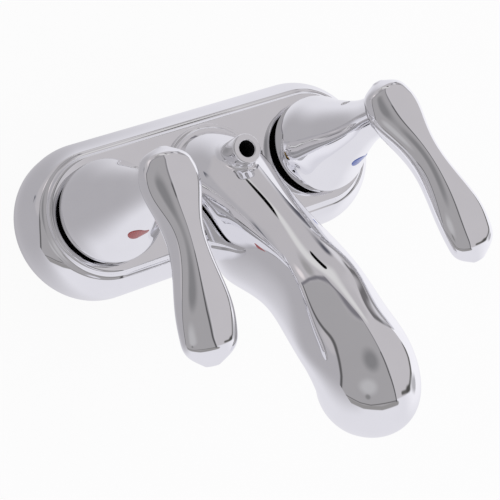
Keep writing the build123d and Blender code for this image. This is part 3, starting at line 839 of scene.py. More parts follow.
@dataclass(frozen=True)
class RodBoss:
    """Boss and sleeve of the lift rod, with a cove that follows the spout. Sizes in millimetres.

    Attributes:
        ground: Tree of the spout's skin.
        edge: Rounding of the top's outer edge.
        lip: Rounding of the bore's mouth.
        rest: Flat ring of the top beside each of the two roundings.
        cove: Width of the cove round the boss, and flare how much wider it gets at the front.
        sink: How far the boss's foot is sunk in the spout.
        dark_depth: Depth under the top from which the bore gets near-black painted shade.
        slack: Margin by which a face may lie outside the bore and still get the painted shade.
        sky_z: Height that the spout is felt for from.
    """

    ground: BVHTree
    bore_r: float = 3.35
    sleeve_r: float = 4.5
    boss_r: float = 6.15
    top_z: float = 53.5
    edge: float = 0.7
    lip: float = 0.5
    rest: float = 0.2
    cove: float = 1.3
    flare: float = 1.7
    sink: float = 3.0
    bore_levels: Pair = (30.0, 40.0)
    dark_depth: float = 0.9
    slack: float = 0.05
    sky_z: float = 200.0
    count: int = 128
    lip_steps: int = 5
    edge_steps: int = 8

    def height(self, radius: float, turn: float) -> float:
        """Finds the spout's top at a place round the boss.

        Args:
            radius: Distance from the rod's axis.
            turn: Angle round it, in radians.

        Returns:
            Height of the top.
        """
        x, y = radius * math.cos(turn), ROD_Y + radius * math.sin(turn)
        hit = self.ground.ray_cast(Vector((x * MM, y * MM, self.sky_z * MM)), Vector((0, 0, -1)))[0]
        return hit.z / MM if hit else TIER_TOP_Z

    def column(self, turn: float) -> list[Pair]:
        """Draws the profile at one angle, from the bore's foot over the top to the sleeve's foot.

        Args:
            turn: The angle, in radians.

        Returns:
            Distance from the rod's axis and height of each point.
        """
        top, bore, side, lip = self.top_z, self.bore_r, self.boss_r, self.lip
        centre = (side - self.edge, top - self.edge)
        points = [(bore, z) for z in (TIER_TOP_Z, *self.bore_levels, top - 2 * lip, top - lip)]
        points += rounding((bore, top - lip), (bore + lip, top), (bore + lip, top - lip), self.lip_steps)[1:]
        points += [(bore + lip + self.rest, top), (centre[0] - self.rest, top)]
        points += rounding((centre[0], top), (side, centre[1]), centre, self.edge_steps)
        cove = self.cove + self.flare * (1 - math.sin(turn)) / 2
        near, far = self.height(side, turn), self.height(side + cove, turn)
        points += [(side, (centre[1] + near + cove) / 2)]
        points += bend((side, near + cove), (side, near), (side + cove, far), self.edge_steps)
        sunk = min(near, far) - self.sink
        return points + [(side, sunk), (self.sleeve_r, sunk), (self.sleeve_r, TIER_TOP_Z)]

    def inside(self, centre: Vector, normal: Vector) -> bool:
        """Whether a face of the boss is deep in its bore, where it gets painted shade."""
        apart = math.hypot(centre.x, centre.y - ROD_Y * MM)
        return apart < (self.bore_r + self.slack) * MM and centre.z < (self.top_z - self.dark_depth) * MM

    def build(self) -> None:
        """Makes the boss."""
        turns = [math.tau * step / self.count for step in range(self.count)]
        columns = [self.column(turn) for turn in turns]
        rows = []
        for level in zip(*columns):
            rows.append([(r * math.cos(t), ROD_Y + r * math.sin(t), z) for (r, z), t in zip(level, turns)])
        # The bore's deep faces get near-black painted shade
        boss = Mesh.lofted("lift_rod_boss", rows, ring=True).lined(PAINTED_SHADE_BLACK, self.inside).smooth()
        boss.put("base", Slot.CHROME, "lift_rod_guide")


@dataclass(frozen=True)
class Handle:
    """One handle: the bell-shaped hub, its index mark and the lever. Sizes in millimetres.

    Attributes:
        side: Which valve it turns.
        hub_profile: Radius and height up the bell's outside.
        cavity: Radius and height up the hollow's inside.
        rim_edge: Width and height of the rim's chamfer.
        slack: Margins beside the cavity and above the web within which a face gets near-black painted shade.
        set_screw_reach: Where the set screw's hole starts and ends, from the hub's axis.
        mark_z: Height of the mark, and mark_shift its way round towards +X.
        mark_crown: Share of the outline and of the proud height, from the pad's edge to its middle.
        splay: Angle outwards, in degrees.
        power: Squareness of the lever's section.
        lever_sections: Reach, middle height, half width and half height along the lever.
        tip_dome: How far both ends of the lever bulge past their last section.
        facing_down: Height of a normal under which its face looks down.
    """

    side: Side
    hub_profile: tuple[Pair, ...] = (
        (20.9, 23.8), (20.6, 27.6), (17.5, 35.0), (13.7, 45.0),
        (10.6, 55.0), (8.7, 64.0), (8.3, 71.0), (8.4, 77.5),
    )
    rim_z: float = 23.4
    cavity: tuple[Pair, ...] = ((19.0, 23.4), (18.7, 27.6), (15.4, 35.0), (11.6, 45.0), (9.9, 49.0))
    web_z: float = 49.5
    web_flat: float = 0.8
    rim_edge: Pair = (0.15, 0.08)
    rim_flat: float = 0.4
    slack: Pair = (0.05, 0.2)
    set_screw_z: float = 56.0
    set_screw_r: float = 2.0
    set_screw_reach: Pair = (7.0, 16.0)
    mark_z: float = 45.9
    mark_shift: float = 0.3
    mark_length: float = 8.8
    mark_round_r: float = 3.2
    mark_tip_r: float = 0.9
    mark_proud: float = 0.22
    mark_sunk: float = 0.4
    mark_crown: tuple[Pair, ...] = (
        (1.0, 0.02), (0.985, 0.5), (0.95, 0.8), (0.9, 0.95), (0.75, 1.0), (0.5, 1.04), (0.25, 1.06),
    )
    splay: float = 9.4
    power: float = 2.25
    lever_sections: tuple[Row, ...] = (
        (-11.3, 81.6, 2.4, 1.6), (-9.6, 81.7, 6.4, 3.8), (-5.6, 82.0, 10.2, 5.4), (1.0, 82.3, 11.7, 6.2),
        (9.0, 82.9, 10.2, 6.6), (17.0, 84.2, 7.9, 6.7), (26.0, 86.2, 7.2, 6.3), (37.0, 87.9, 8.9, 6.0),
        (49.0, 88.6, 11.0, 5.7), (58.0, 88.0, 10.9, 5.3), (64.6, 87.0, 7.9, 4.0), (67.9, 86.3, 3.0, 1.8),
    )
    tip_dome: float = 0.5
    steps_round: int = 160
    cavity_rows: int = 24
    hub_rows: int = 110
    screw_steps: int = 40
    mark_steps: int = 72
    bell_samples: int = 400
    lever_rows: int = 150
    lever_quarter: int = 24
    dome_steps: int = 5
    facing_down: float = -0.5
    mark_sharp_deg: float = 40.0
    lever_sharp_deg: float = 60.0

    @property
    def place(self) -> Matrix:
        """Matrix from the Z axis, lever to -Y, to the handle's place."""
        turn = Matrix.Rotation(math.radians(self.side.value * self.splay), 4, "Z")
        return Matrix.Translation((self.side.value * VALVE_X * MM, 0, 0)) @ turn

    def inside(self, centre: Vector, normal: Vector) -> bool:
        """Tells whether a face of the bell, still on the Z axis, looks into its hollow and so gets painted shade.

        Args:
            centre: The face's centre in metres.
            normal: Its normal.

        Returns:
            Whether it does.
        """
        apart = Vector((centre.x, centre.y))
        facing = apart.dot(Vector((normal.x, normal.y))) < 0 or normal.z < self.facing_down
        beside, above = self.slack
        return facing and centre.z < (self.web_z + above) * MM and apart.length < (self.cavity[0][0] + beside) * MM

    def hub(self) -> None:
        """Makes the hub with the hole for its set screw."""
        rim = self.hub_profile[0][0]
        profile = [(0, self.web_z), (self.cavity[-1][0] - self.web_flat, self.web_z)]
        profile += [tuple(row) for row in Track(self.cavity).walk(self.cavity_rows)][::-1]
        profile += [(rim - self.rim_flat, self.rim_z), (rim - self.rim_edge[0], self.rim_z + self.rim_edge[1])]
        profile += [tuple(row) for row in Track(self.hub_profile).walk(self.hub_rows)]
        profile += [(0, self.hub_profile[-1][1])]
        bell = Mesh.turned(f"{self.side.label}_hub_bell", profile, self.steps_round)
        lift = Matrix.Translation((0, 0, self.set_screw_z * MM))
        hole = Mesh.drill((0, 0), self.set_screw_r, *self.set_screw_reach, self.screw_steps)
        bell.cut(hole.placed(lift @ Matrix.Rotation(math.radians(-90), 4, "X")))
        # Faces that look into the hollow get near-black painted shade
        bell.lined(PAINTED_SHADE_BLACK, self.inside).placed(self.place).smooth()
        bell.put(self.side.body, Slot.CHROME, f"{self.side.label}_hub")

    def drop_outline(self) -> np.ndarray:
        """Draws the mark's outline: a round end at -X and a blunt tip at +X.

        Returns:
            Its points, seen from the front.
        """
        apart = self.mark_length - self.mark_round_r - self.mark_tip_r
        turn = math.acos((self.mark_round_r - self.mark_tip_r) / apart)
        start = self.mark_shift + (self.mark_round_r - self.mark_tip_r - apart) / 2
        ends = (
            (start, self.mark_round_r, np.linspace(turn, math.tau - turn, self.mark_steps // 2)),
            (start + apart, self.mark_tip_r, np.linspace(-turn, turn, self.mark_steps // 4)),
        )
        return np.array([(x + r * math.cos(t), r * math.sin(t)) for x, r, arc in ends for t in arc])

    def mark(self) -> None:
        """Makes the index mark as a low pad that follows the hub."""
        bell = np.array(Track(self.hub_profile).walk(self.bell_samples))

        def on_bell(flat: np.ndarray, proud: float) -> np.ndarray:
            """Bends flat points round the bell, proud of it."""
            radii = np.interp(self.mark_z + flat[:, 1], bell[:, 1], bell[:, 0]) + proud
            return np.column_stack((flat[:, 0], -np.sqrt(radii ** 2 - flat[:, 0] ** 2), self.mark_z + flat[:, 1]))
        outline = self.drop_outline()
        rows = [on_bell(outline, -self.mark_sunk)]
        rows += [on_bell(outline * share, rise * self.mark_proud) for share, rise in self.mark_crown]
        pad = Mesh.lofted(f"{self.side.label}_index_drop", rows).placed(self.place).smooth(self.mark_sharp_deg)
        pad.put(self.side.body, self.side.mark_slot, f"{self.side.label}_index_mark")

    def lever(self) -> None:
        """Makes the lever with its round head and broad tip."""
        flat = unit_loop(self.power, self.lever_quarter)
        rows = [tuple(row) for row in Track(self.lever_sections).walk(self.lever_rows)]
        turns = [math.pi / 2 * step / self.dome_steps for step in range(1, self.dome_steps)]
        for end, way in ((0, -1), (-1, 1)):
            out, z, half_w, half_h = self.lever_sections[end]
            dome = []
            for turn in turns:
                reach, shrink = way * math.sin(turn) * self.tip_dome, math.cos(turn)
                dome.append((out + reach, z, half_w * shrink, half_h * shrink))
            rows = dome[::-1] + rows if way < 0 else rows + dome
        loops = []
        for out, z, half_w, half_h in rows:
            loops.append(np.column_stack((flat[:, 0] * half_w, np.full(len(flat), -out), z + flat[:, 1] * half_h)))
        arm = Mesh.lofted(f"{self.side.label}_lever_arm", loops).placed(self.place).smooth(self.lever_sharp_deg)
        arm.put(self.side.body, Slot.CHROME, f"{self.side.label}_lever")

    def build(self) -> None:
        """Makes the handle's pieces."""
        self.hub()
        self.mark()
        self.lever()


@dataclass(frozen=True)
class Aerator:
    """Chromed housing of the aerator and its flow straightener. Sizes in millimetres.

    Attributes:
        outlet: Middle y and z of the outlet and the tilt of its normal.
        cup_depth: How far the housing reaches up the spout.
        insert_z: How far the straightener's face stands out of the spout's outlet.
    """

    outlet: Row
    cup_r: float = 11.7
    lip_r: float = 13.0
    lip_h: float = 2.6
    lip_round: float = 0.8
    lip_gap: float = 0.1
    cup_depth: float = 4.0
    chamfer: float = 0.3
    bore_r: float = 10.3
    insert_r: float = 10.2
    insert_z: float = 1.6
    grid_h: float = 0.7
    grid_pitch: float = 1.7
    grid_sunk: float = 0.05
    rib_w: float = 0.35
    round_steps: int = 6

    @property
    def place(self) -> Matrix:
        """Place of the outlet.

        Returns:
            Its matrix, whose Z axis points the way the water leaves.
        """
        y, z, tilt = self.outlet
        out = Vector((0, -math.cos(math.radians(tilt)), math.sin(math.radians(tilt))))
        right = Vector((1, 0, 0))
        turn = Matrix((right, out.cross(right), out)).transposed().to_4x4()
        return Matrix.Translation((0, y * MM, z * MM)) @ turn

    def housing(self) -> None:
        """Makes the housing."""
        lip, bore, high, edge = self.lip_r, self.bore_r, self.lip_h, self.chamfer
        flat, band = lip - self.lip_round, high - self.lip_round
        profile = [(bore, -self.cup_depth), (bore, high - edge), (bore + edge, high), (flat, high)]
        profile += rounding((flat, high), (lip, band), (flat, band), self.round_steps)[1:]
        profile += [(lip, self.lip_gap + edge), (lip - edge, self.lip_gap), (self.cup_r, self.lip_gap)]
        profile += [(self.cup_r, -self.cup_depth)]
        cup = Mesh.turned("aerator_ring", profile, ring=True).placed(self.place).smooth()
        cup.put("base", Slot.CHROME, "aerator_housing")

    def ribs(self) -> Mesh:
        """Makes parallel ribs across the straightener, each as long as its chord.

        Returns:
            The piece.
        """
        count = 2 * int(self.insert_r / self.grid_pitch) + 1
        sizes = {"Radius": self.insert_r, "Pitch": self.grid_pitch, "Width": self.rib_w, "Height": self.grid_h}
        tool = Repeat("straightener_ribs", {name: size * MM for name, size in sizes.items()}, Slot.PLASTIC)
        given = tool.given
        first = tool.add("ShaderNodeMath", {1: -(count - 1) / 2}, {0: given["Pitch"]}, operation="MULTIPLY")
        start = tool.add("ShaderNodeCombineXYZ", links={"X": first})
        step = tool.add("ShaderNodeCombineXYZ", links={"X": given["Pitch"]})
        line = tool.add("GeometryNodeMeshLine", {"Count": count}, {"Start Location": start, "Offset": step})
        spot = tool.add("GeometryNodeInputPosition")
        x = tool.add("ShaderNodeSeparateXYZ", links={0: spot})
        share = tool.add("ShaderNodeMath", links={0: x, 1: given["Radius"]}, operation="DIVIDE")
        square = tool.add("ShaderNodeMath", {1: 2.0}, {0: share}, operation="POWER")
        rest = tool.add("ShaderNodeMath", {0: 1.0}, {1: square}, operation="SUBTRACT")
        chord = tool.add("ShaderNodeMath", links={0: rest}, operation="SQRT")
        scale = tool.add("ShaderNodeCombineXYZ", {"X": 1.0, "Z": 1.0}, {"Y": chord})
        across = tool.add("ShaderNodeMath", {1: 2.0}, {0: given["Radius"]}, operation="MULTIPLY")
        size = tool.add("ShaderNodeCombineXYZ", links={"X": given["Width"], "Y": across, "Z": given["Height"]})
        bar = tool.add("GeometryNodeMeshCube", links={"Size": size})
        placed = {"Points": line, "Instance": bar, "Scale": scale}
        return tool.baked(tool.add("GeometryNodeInstanceOnPoints", links=placed))

    def straightener(self) -> None:
        """Makes the pierced disc with its crossed ribs."""
        disc = Mesh.of_node("aerator_straightener", "aerator_insert")
        lift = Matrix.Translation((0, 0, (self.insert_z + self.grid_h / 2 - self.grid_sunk) * MM))
        for turn in (0, 90):
            disc.joined(self.ribs().placed(self.place @ lift @ Matrix.Rotation(math.radians(turn), 4, "Z")))
        disc.smooth().put("base", Slot.PLASTIC, "aerator_insert")

    def build(self) -> None:
        """Makes both pieces."""
        self.housing()
        self.straightener()


@dataclass(frozen=True)
class Shank:
    """Threaded valve body and the nut that clamps it under the deck. Sizes in millimetres.

    Attributes:
        side: Which valve it belongs to.
        runs: Lowest and highest height of each threaded run.
        crest_share: Share of the pitch that the ridge's flat crest takes.
        ridge_sunk: How far the ridge's foot is sunk in the core.
        run_out: Slope of the turned-down core at both ends of a run.
        clearance: How far the cutter reaches past the crests.
        rib_sunk: How far the middles of the nut's ribs lie inside its rim.
        rib_short: How much shorter a rib is than the nut.
    """

    side: Side
    pitch: float = 1.814
    crest_r: float = 10.42
    root_r: float = 9.25
    runs: tuple[Pair, ...] = ((-47.2, -30.4), (-28.6, -3.0))
    crest_share: float = 1 / 6
    ridge_sunk: float = 0.3
    run_out: float = 0.6
    clearance: float = 2.0
    turn_steps: int = 48
    core_steps: int = 96
    nut_r: float = 14.5
    nut_low_z: float = -25.0
    nut_h: float = 11.0
    rib_count: int = 60
    rib_r: float = 0.55
    rib_sides: int = 10
    rib_sunk: float = 0.1
    rib_short: float = 2.0

    @property
    def place(self) -> Matrix:
        """Matrix of the valve's axis."""
        return Matrix.Translation((self.side.value * VALVE_X * MM, 0, 0))

    def thread(self, low: float, high: float) -> Mesh:
        """Makes the ridge of a thread.

        Args:
            low: Height that it starts at.
            high: Height that it ends at.

        Returns:
            The piece, on the Z axis.
        """
        climb = high - low - self.pitch
        names = {"Radius": self.root_r * MM, "Height": climb * MM, "Turns": climb / self.pitch}
        tool = Repeat("shank_thread", names, Slot.BRASS)
        given = tool.given
        ends = {"Start Radius": given["Radius"], "End Radius": given["Radius"]}
        ends |= {"Rotations": given["Turns"], "Height": given["Height"]}
        spiral = tool.add("GeometryNodeCurveSpiral", {"Resolution": self.turn_steps}, ends)
        spiral = tool.add("GeometryNodeSetCurveNormal", links={"Curve": spiral}, mode="Z_UP")
        rise, sunk, half = self.crest_r - self.root_r, self.ridge_sunk, self.pitch / 2
        flat = half * self.crest_share
        # The curve's normals point to the axis, so the crest is on the profile's minus side
        corners = ((sunk, -half), (sunk, half), (-rise, flat), (-rise, -flat))
        points = {f"Point {i + 1}": (x * MM, y * MM, 0.0) for i, (x, y) in enumerate(corners)}
        profile = tool.add("GeometryNodeCurvePrimitiveQuadrilateral", points, mode="POINTS")
        ridge = {"Curve": spiral, "Profile Curve": profile}
        ridge = tool.add("GeometryNodeCurveToMesh", {"Fill Caps": True}, ridge)
        return tool.baked(ridge).placed(Matrix.Translation((0, 0, (low + half) * MM)))

    def body(self) -> None:
        """Makes the valve body, its plain shank turned down and threaded."""
        name = f"{self.side.label}_valve_body"
        brass = Mesh.of_node(f"{self.side.label}_threaded_body", name)
        cutters = []
        wide, root, slope = self.crest_r + self.clearance, self.root_r, self.run_out
        for low, high in self.runs:
            profile = ((root, low + slope), (wide, low - slope), (wide, high + slope), (root, high - slope))
            cutters.append(Mesh.turned("turning", profile, self.core_steps, ring=True).placed(self.place))
        brass.cut(*cutters)
        brass.joined(*[self.thread(*run).placed(self.place) for run in self.runs])
        brass.smooth().put("base", Slot.BRASS, name)

    def nut(self) -> None:
        """Makes the winged nut with grip ribs between its wings."""
        sizes = {"Radius": self.nut_r - self.rib_sunk, "Rib radius": self.rib_r, "Height": self.nut_h - self.rib_short}
        tool = Repeat("nut_ribs", {name: size * MM for name, size in sizes.items()}, Slot.PLASTIC)
        given = tool.given
        ring = tool.add("GeometryNodeMeshCircle", {"Vertices": self.rib_count}, {"Radius": given["Radius"]})
        depth = {"Radius": given["Rib radius"], "Depth": given["Height"]}
        bar = tool.add("GeometryNodeMeshCylinder", {"Vertices": self.rib_sides}, depth)
        ribs = tool.baked(tool.add("GeometryNodeInstanceOnPoints", links={"Points": ring, "Instance": bar}))
        ribs.placed(self.place @ Matrix.Translation((0, 0, (self.nut_low_z + self.nut_h / 2) * MM)))
        name = f"{self.side.label}_mounting_nut"
        nut = Mesh.of_node(f"{self.side.label}_ribbed_nut", name)
        nut.joined(ribs).smooth().put("base", Slot.PLASTIC, name)

    def build(self) -> None:
        """Makes both pieces."""
        self.body()
        self.nut()


@dataclass(frozen=True)
class Seam:
    """Line across the light tent. Places are degrees from straight up, towards +X and +Y.

    Attributes:
        points: Places that the line runs through.
        width: Full width in degrees.
        colour: Its sRGB colour.
        soft: Share of the width that fades.
    """

    points: tuple[Pair, ...]
    width: float
    colour: str
    soft: float = 0.5

    def run_mask(self, tree: Tree, place: Socket, start: Pair, end: Pair) -> Socket:
        """Adds the mask of one straight run.

        Args:
            tree: Node tree.
            place: Socket of the place on the tent.
            start: Where the run starts.
            end: Where it ends.

        Returns:
            Socket of the mask.
        """
        run = Vector((end[0] - start[0], end[1] - start[1], 0))
        rel = add_node(tree, VECTOR_MATH, {1: (*start, 0)}, {0: place}, operation="SUBTRACT").outputs[0]
        along = add_node(tree, VECTOR_MATH, {1: run / run.length_squared}, {0: rel}, operation="DOT_PRODUCT")
        held = add_node(tree, "ShaderNodeClamp", links={"Value": along.outputs["Value"]}).outputs[0]
        foot = add_node(tree, VECTOR_MATH, {0: run}, {"Scale": held}, operation="SCALE").outputs[0]
        gap = add_node(tree, VECTOR_MATH, links={0: rel, 1: foot}, operation="DISTANCE").outputs["Value"]
        span = {"From Min": self.width / 2, "From Max": self.width / 2 * (1 - self.soft)}
        return add_node(tree, "ShaderNodeMapRange", span, {"Value": gap}, interpolation_type="SMOOTHSTEP").outputs[0]

    def mask(self, tree: Tree, place: Socket) -> Socket:
        """Adds the mask of the line."""
        runs = zip(self.points, self.points[1:])
        return combined(tree, [self.run_mask(tree, place, a, b) for a, b in runs], "MAXIMUM")


@dataclass(frozen=True)
class Patch:
    """Soft oval on the light tent.

    Attributes:
        centre: Its middle, as a place in Seam.
        radii: Half sizes in degrees.
        colour: Its sRGB colour.
        fade: Where the fading starts, as a share of the radii.
    """

    centre: Pair
    radii: Pair
    colour: str
    fade: float = 0.3

    def mask(self, tree: Tree, place: Socket) -> Socket:
        """Adds the mask of the oval.

        Args:
            tree: Node tree.
            place: Socket of the place on the tent.

        Returns:
            Socket of the mask.
        """
        rel = add_node(tree, VECTOR_MATH, {1: (*self.centre, 0)}, {0: place}, operation="SUBTRACT").outputs[0]
        shrink = {1: (1 / self.radii[0], 1 / self.radii[1], 0)}
        scaled = add_node(tree, VECTOR_MATH, shrink, {0: rel}, operation="MULTIPLY").outputs[0]
        size = add_node(tree, VECTOR_MATH, links={0: scaled}, operation="LENGTH").outputs["Value"]
        span = {"From Min": 1.0, "From Max": self.fade}
        return add_node(tree, "ShaderNodeMapRange", span, {"Value": size}, interpolation_type="SMOOTHSTEP").outputs[0]


@dataclass(frozen=True)
class Panel:
    """Convex panel of the light tent.

    Attributes:
        corners: Its corners in order, as places in Seam.
        colour: Its sRGB colour.
        soft: Width of its fading edge in degrees.
    """

    corners: tuple[Pair, ...]
    colour: str
    soft: float = 3.0

    def mask(self, tree: Tree, place: Socket) -> Socket:
        """Adds the mask of the panel.

        Args:
            tree: Node tree.
            place: Socket of the place on the tent.

        Returns:
            Socket of the mask.
        """
        sides = []
        middle = Vector((sum(c[0] for c in self.corners), sum(c[1] for c in self.corners))) / len(self.corners)
        for a, b in zip(self.corners, self.corners[1:] + self.corners[:1]):
            inward = Vector((a[1] - b[1], b[0] - a[0])).normalized()
            if inward.dot(middle - Vector(a)) < 0:
                inward = -inward
            rel = add_node(tree, VECTOR_MATH, {1: (*a, 0)}, {0: place}, operation="SUBTRACT").outputs[0]
            depth = add_node(tree, VECTOR_MATH, {1: (*inward, 0)}, {0: rel}, operation="DOT_PRODUCT").outputs["Value"]
            span = {"From Min": -self.soft / 2, "From Max": self.soft / 2}
            edge = add_node(tree, "ShaderNodeMapRange", span, {"Value": depth}, interpolation_type="SMOOTHSTEP")
            sides.append(edge.outputs[0])
        return combined(tree, sides, "MULTIPLY")


def combined(tree: Tree, masks: Sequence[Socket], operation: str) -> Socket:
    """Joins masks.

    Args:
        tree: Node tree.
        masks: Sockets of the masks.
        operation: Math operation that joins each to the next.

    Returns:
        Socket of the whole.
    """
    whole = masks[0]
    for mask in masks[1:]:
        whole = add_node(tree, "ShaderNodeMath", links={0: whole, 1: mask}, operation=operation).outputs[0]
    return whole


# What hangs in the tent and shows in the chrome. Each thing covers those before it
TENT = (
    # Grey cards: one behind the faucet, one over its left and one over its right
    Panel(((-66, 34), (84, 34), (76, 48), (50, 72), (0, 85), (-50, 68), (-66, 50)), "B6B3B6", 6.0),
    Panel(((-50, 45.5), (-98, -26), (-90, -35), (-60, -46), (-20, -51), (22, -46), (22, 45), (12, 46.5), (-10, 47)),
          "A09EA0"),
    Panel(((22, 45), (22, -40), (50, -38), (78, -19), (92, 6), (98, 20), (60, 42)), "BDBABD"),
    # Shading on the cards
    Patch((-8, 16), (22, 18), "807F81"),
    Patch((-34, -14), (26, 16), "B4B3B5"),
    Patch((-42, -28), (8, 6), "828182"),
    Patch((8, 56), (14, 10), "9A9899"),
    Patch((-27, 56), (14, 9), "DDD6D7"),
    # Dark edges of the cards and of the gaps between them
    Seam(((-90, -32), (-57, -45), (-15, -50), (23, -46)), 10.0, "918F8F"),
    Seam(((-90, -25), (-62, -37), (-40, -42), (22, -42)), 3.2, "706E6F", 0.8),
    Seam(((-48, 46), (-56, 36), (-76, 5), (-99, -26)), 6.0, "5A595A", 0.8),
    Seam(((24, 46), (21.5, 37), (19.3, 18)), 4.0, "807E81", 0.9),
    Seam(((19.3, 18), (18.5, -6), (20, -25), (21.5, -43)), 4.0, "545355", 0.8),
    Seam(((90, 10), (86, -2), (76, -16), (62, -28), (52, -34), (38, -34)), 9.0, "5F5E5C", 0.8),
    Seam(((90, 10), (99, 20), (84, 28), (59, 40), (49, 56)), 5.0, "6C6A6C", 0.8),
    # Shading low on the right
    Patch((56, -32), (11, 7), "4E4D4B"),
    Patch((80, -30), (20, 15), "B4B3B7"),
    Patch((86, 36), (16, 12), "C4C3C8"),
    # Edge between the left card and the one behind, and the tent's bluish dark hem
    Seam(((-50, 46.5), (-10, 48.5), (12, 48), (24, 46)), 5.0, "76747A", 0.9),
    Seam(((-125, 30), (-117, 35), (-104, 42), (-88, 53), (-72, 62), (-60, 66)), 10.0, "66676E", 0.9),
    Seam(((46, 56), (60, 58), (67, 58), (82, 55), (91, 51), (101, 48), (128, 30)), 9.0, "55555E", 0.8),
    # Bright strip behind the faucet with two black slits, which show along the spout's ridge
    Seam(((18, 71), (33, 47)), 13.0, "D2D1D1", 0.8),
    Patch((18.2, 67.6), (5.4, 1.3), "050505", 0.7),
    Seam(((32.2, 57.8), (33.4, 50.8)), 3.4, "050505", 0.35),
    # Fold and fill light beside the strip
    Seam(((60, 56), (68, 40)), 8.0, "8E8B90", 0.7),
    Patch((53, 52), (7, 12), "D2D0D4"),
)


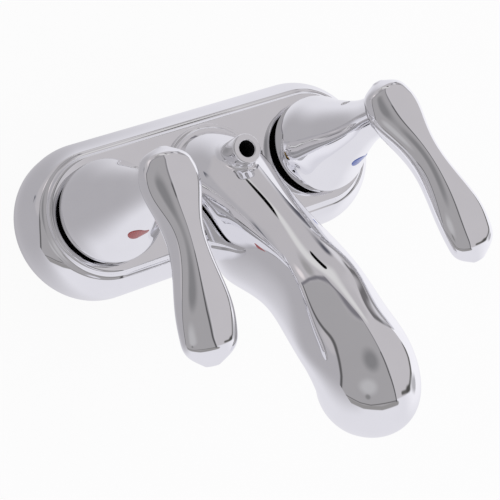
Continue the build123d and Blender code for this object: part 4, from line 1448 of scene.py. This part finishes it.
@dataclass(frozen=True)
class Studio:
    """Camera, floor and light tent. Lengths in millimetres.

    Attributes:
        eye: Place of the camera, whose axes are right, up and forward.
        clip_m: Nearest and farthest that it sees, in metres.
        middle: Point that the floor's directions are taken from.
        gain: Strength of the tent's light.
        shade: Share of the floor's paint that takes light and shadow.
        paper: Strength of the rest of it, so that both together are white where nothing shades them.
        wall: Colour of the tent's plain walls.
        leans: Direction of each wall that differs, the cosines where its colour starts and is full, and the colour.
    """

    lens: float = 99.17
    sensor: float = 36.0
    eye: Row = (-268.9, -41.5, 518.9)
    right: Row = (0.8265, -0.3436, 0.4458)
    up: Row = (0.2944, 0.939, 0.1779)
    forward: Row = (0.4797, 0.0158, -0.8773)
    clip_m: Pair = (0.01, 30.0)
    middle: Row = (0.0, -40.0, 60.0)
    floor_size: float = 6000.0
    gain: float = 1.09
    shade: float = 0.12
    paper: float = 1.05
    wall: str = "DDDCE2"
    leans: tuple[tuple[Row, float, float, str], ...] = (
        ((-0.8, 0.6, 0.0), 0.1, 0.85, "ABA9AD"),
        ((1.0, 0.0, 0.0), 0.55, 0.95, "F0EFF4"),
    )

    def camera(self) -> None:
        """Sets the camera."""
        data = bpy.data.cameras.new("camera")
        data.lens, data.sensor_width, data.sensor_fit = self.lens, self.sensor, "HORIZONTAL"
        data.clip_start, data.clip_end = self.clip_m
        eye = bpy.data.objects.new("camera", data)
        basis = Matrix((self.right, self.up, tuple(-c for c in self.forward))).transposed()
        eye.matrix_world = Matrix.Translation(Vector(self.eye) * MM) @ basis.to_4x4()
        bpy.context.scene.collection.objects.link(eye)
        bpy.context.scene.camera = eye

    def walls(self, tree: Tree, heading: Socket) -> Socket:
        """Adds the colour of the tent's plain walls and floor.

        Args:
            tree: Node tree.
            heading: Socket of the direction from the middle of the object.

        Returns:
            Socket of the colour.
        """
        colour = None
        for lean, near, far, tint in self.leans:
            dot = add_node(tree, VECTOR_MATH, {1: lean}, {0: heading}, operation="DOT_PRODUCT")
            span = {"From Min": near, "From Max": far}
            share = add_node(tree, "ShaderNodeMapRange", span, {"Value": dot.outputs["Value"]},
                             interpolation_type="SMOOTHSTEP").outputs[0]
            links = {"Factor": share, 6: colour} if colour else {"Factor": share}
            mix = add_node(tree, "ShaderNodeMix", {6: srgb(self.wall), 7: srgb(tint)}, links, data_type="RGBA")
            colour = mix.outputs[2]
        return colour

    def plan(self, tree: Tree, heading: Socket) -> Socket:
        """Adds the place on the tent that lies in a direction.

        Args:
            tree: Node tree.
            heading: Socket of the direction.

        Returns:
            Socket of the place, in degrees from straight up.
        """
        rise = add_node(tree, "ShaderNodeSeparateXYZ", links={0: heading}).outputs["Z"]
        angle = add_node(tree, "ShaderNodeMath", links={0: rise}, operation="ARCCOSINE").outputs[0]
        values = {1: math.degrees(1)}
        degrees = add_node(tree, "ShaderNodeMath", values, {0: angle}, operation="MULTIPLY").outputs[0]
        flat = add_node(tree, VECTOR_MATH, {1: (1, 1, 0)}, {0: heading}, operation="MULTIPLY").outputs[0]
        unit = add_node(tree, VECTOR_MATH, links={0: flat}, operation="NORMALIZE").outputs[0]
        return add_node(tree, VECTOR_MATH, links={0: unit, "Scale": degrees}, operation="SCALE").outputs[0]

    def floor(self) -> None:
        """Lays the pale floor at the shanks' ends. Mirrored, it is the tent's lower half."""
        size = self.floor_size
        corners = [(-size, -size), (size, -size), (size, size), (-size, size)]
        data = bpy.data.meshes.new("floor")
        data.from_pydata([(x * MM, y * MM, SHANK_LOW_Z * MM) for x, y in corners], [], [(0, 1, 2, 3)])
        ground = bpy.data.objects.new("floor", data)
        bpy.context.scene.collection.objects.link(ground)
        paint = bpy.data.materials.new("floor_paint")
        paint.use_nodes = True
        tree = paint.node_tree
        tree.nodes.clear()
        spot = add_node(tree, "ShaderNodeNewGeometry").outputs["Position"]
        centre = {1: Vector(self.middle) * MM}
        rel = add_node(tree, VECTOR_MATH, centre, {0: spot}, operation="SUBTRACT").outputs[0]
        heading = add_node(tree, VECTOR_MATH, links={0: rel}, operation="NORMALIZE").outputs[0]
        tinted = {"Color": self.walls(tree, heading)}
        dull = add_node(tree, "ShaderNodeEmission", {"Strength": self.gain}, tinted).outputs[0]
        pale = add_node(tree, "ShaderNodeEmission", {"Color": WHITE, "Strength": self.paper}).outputs[0]
        matt = add_node(tree, "ShaderNodeBsdfDiffuse", {"Color": WHITE}).outputs[0]
        seen = add_node(tree, "ShaderNodeMixShader", {0: self.shade}, {1: pale, 2: matt}).outputs[0]
        path = add_node(tree, "ShaderNodeLightPath").outputs["Is Camera Ray"]
        mix = add_node(tree, "ShaderNodeMixShader", links={0: path, 1: dull, 2: seen}).outputs[0]
        add_node(tree, "ShaderNodeOutputMaterial", links={"Surface": mix})
        data.materials.append(paint)

    def world(self) -> None:
        """Paints the tent overhead."""
        world = bpy.data.worlds.new("tent")
        bpy.context.scene.world = world
        world.use_nodes = True
        tree = world.node_tree
        tree.nodes.clear()
        heading = add_node(tree, "ShaderNodeTexCoord").outputs["Generated"]
        colour = self.walls(tree, heading)
        place = self.plan(tree, heading)
        for item in TENT:
            links = {"Factor": item.mask(tree, place), 6: colour}
            colour = add_node(tree, "ShaderNodeMix", {7: srgb(item.colour)}, links, data_type="RGBA").outputs[2]
        dull = add_node(tree, "ShaderNodeBackground", {"Strength": self.gain}, {"Color": colour}).outputs[0]
        pale = add_node(tree, "ShaderNodeBackground", {"Color": WHITE, "Strength": 1.0}).outputs[0]
        path = add_node(tree, "ShaderNodeLightPath").outputs["Is Camera Ray"]
        mix = add_node(tree, "ShaderNodeMixShader", links={0: path, 1: dull, 2: pale}).outputs[0]
        add_node(tree, "ShaderNodeOutputWorld", links={"Surface": mix})

    def build(self) -> None:
        """Sets the whole studio."""
        self.camera()
        self.floor()
        self.world()
        bpy.context.scene.view_settings.view_transform = "Standard"


def dress_nodes() -> None:
    """Gives each carried-over node the finish of its slot."""
    slots = {row["node"]: row["material_slot"] for row in frame["record"]["subparts"]}
    for name, node in frame["nodes"].items():
        node.data.materials.clear()
        node.data.materials.append(FINISHES[Slot(slots[name])])


def main() -> None:
    """Builds the scene."""
    logging.basicConfig(level=logging.INFO)
    dress_nodes()
    CoverPlate().build()
    spout = Spout()
    RodBoss(spout.build()).build()
    Aerator(spout.sections[-1][:3]).build()
    for side in Side:
        Handle(side).build()
        Shank(side).build()
    Studio().build()


if __name__ == "__main__":
    main()
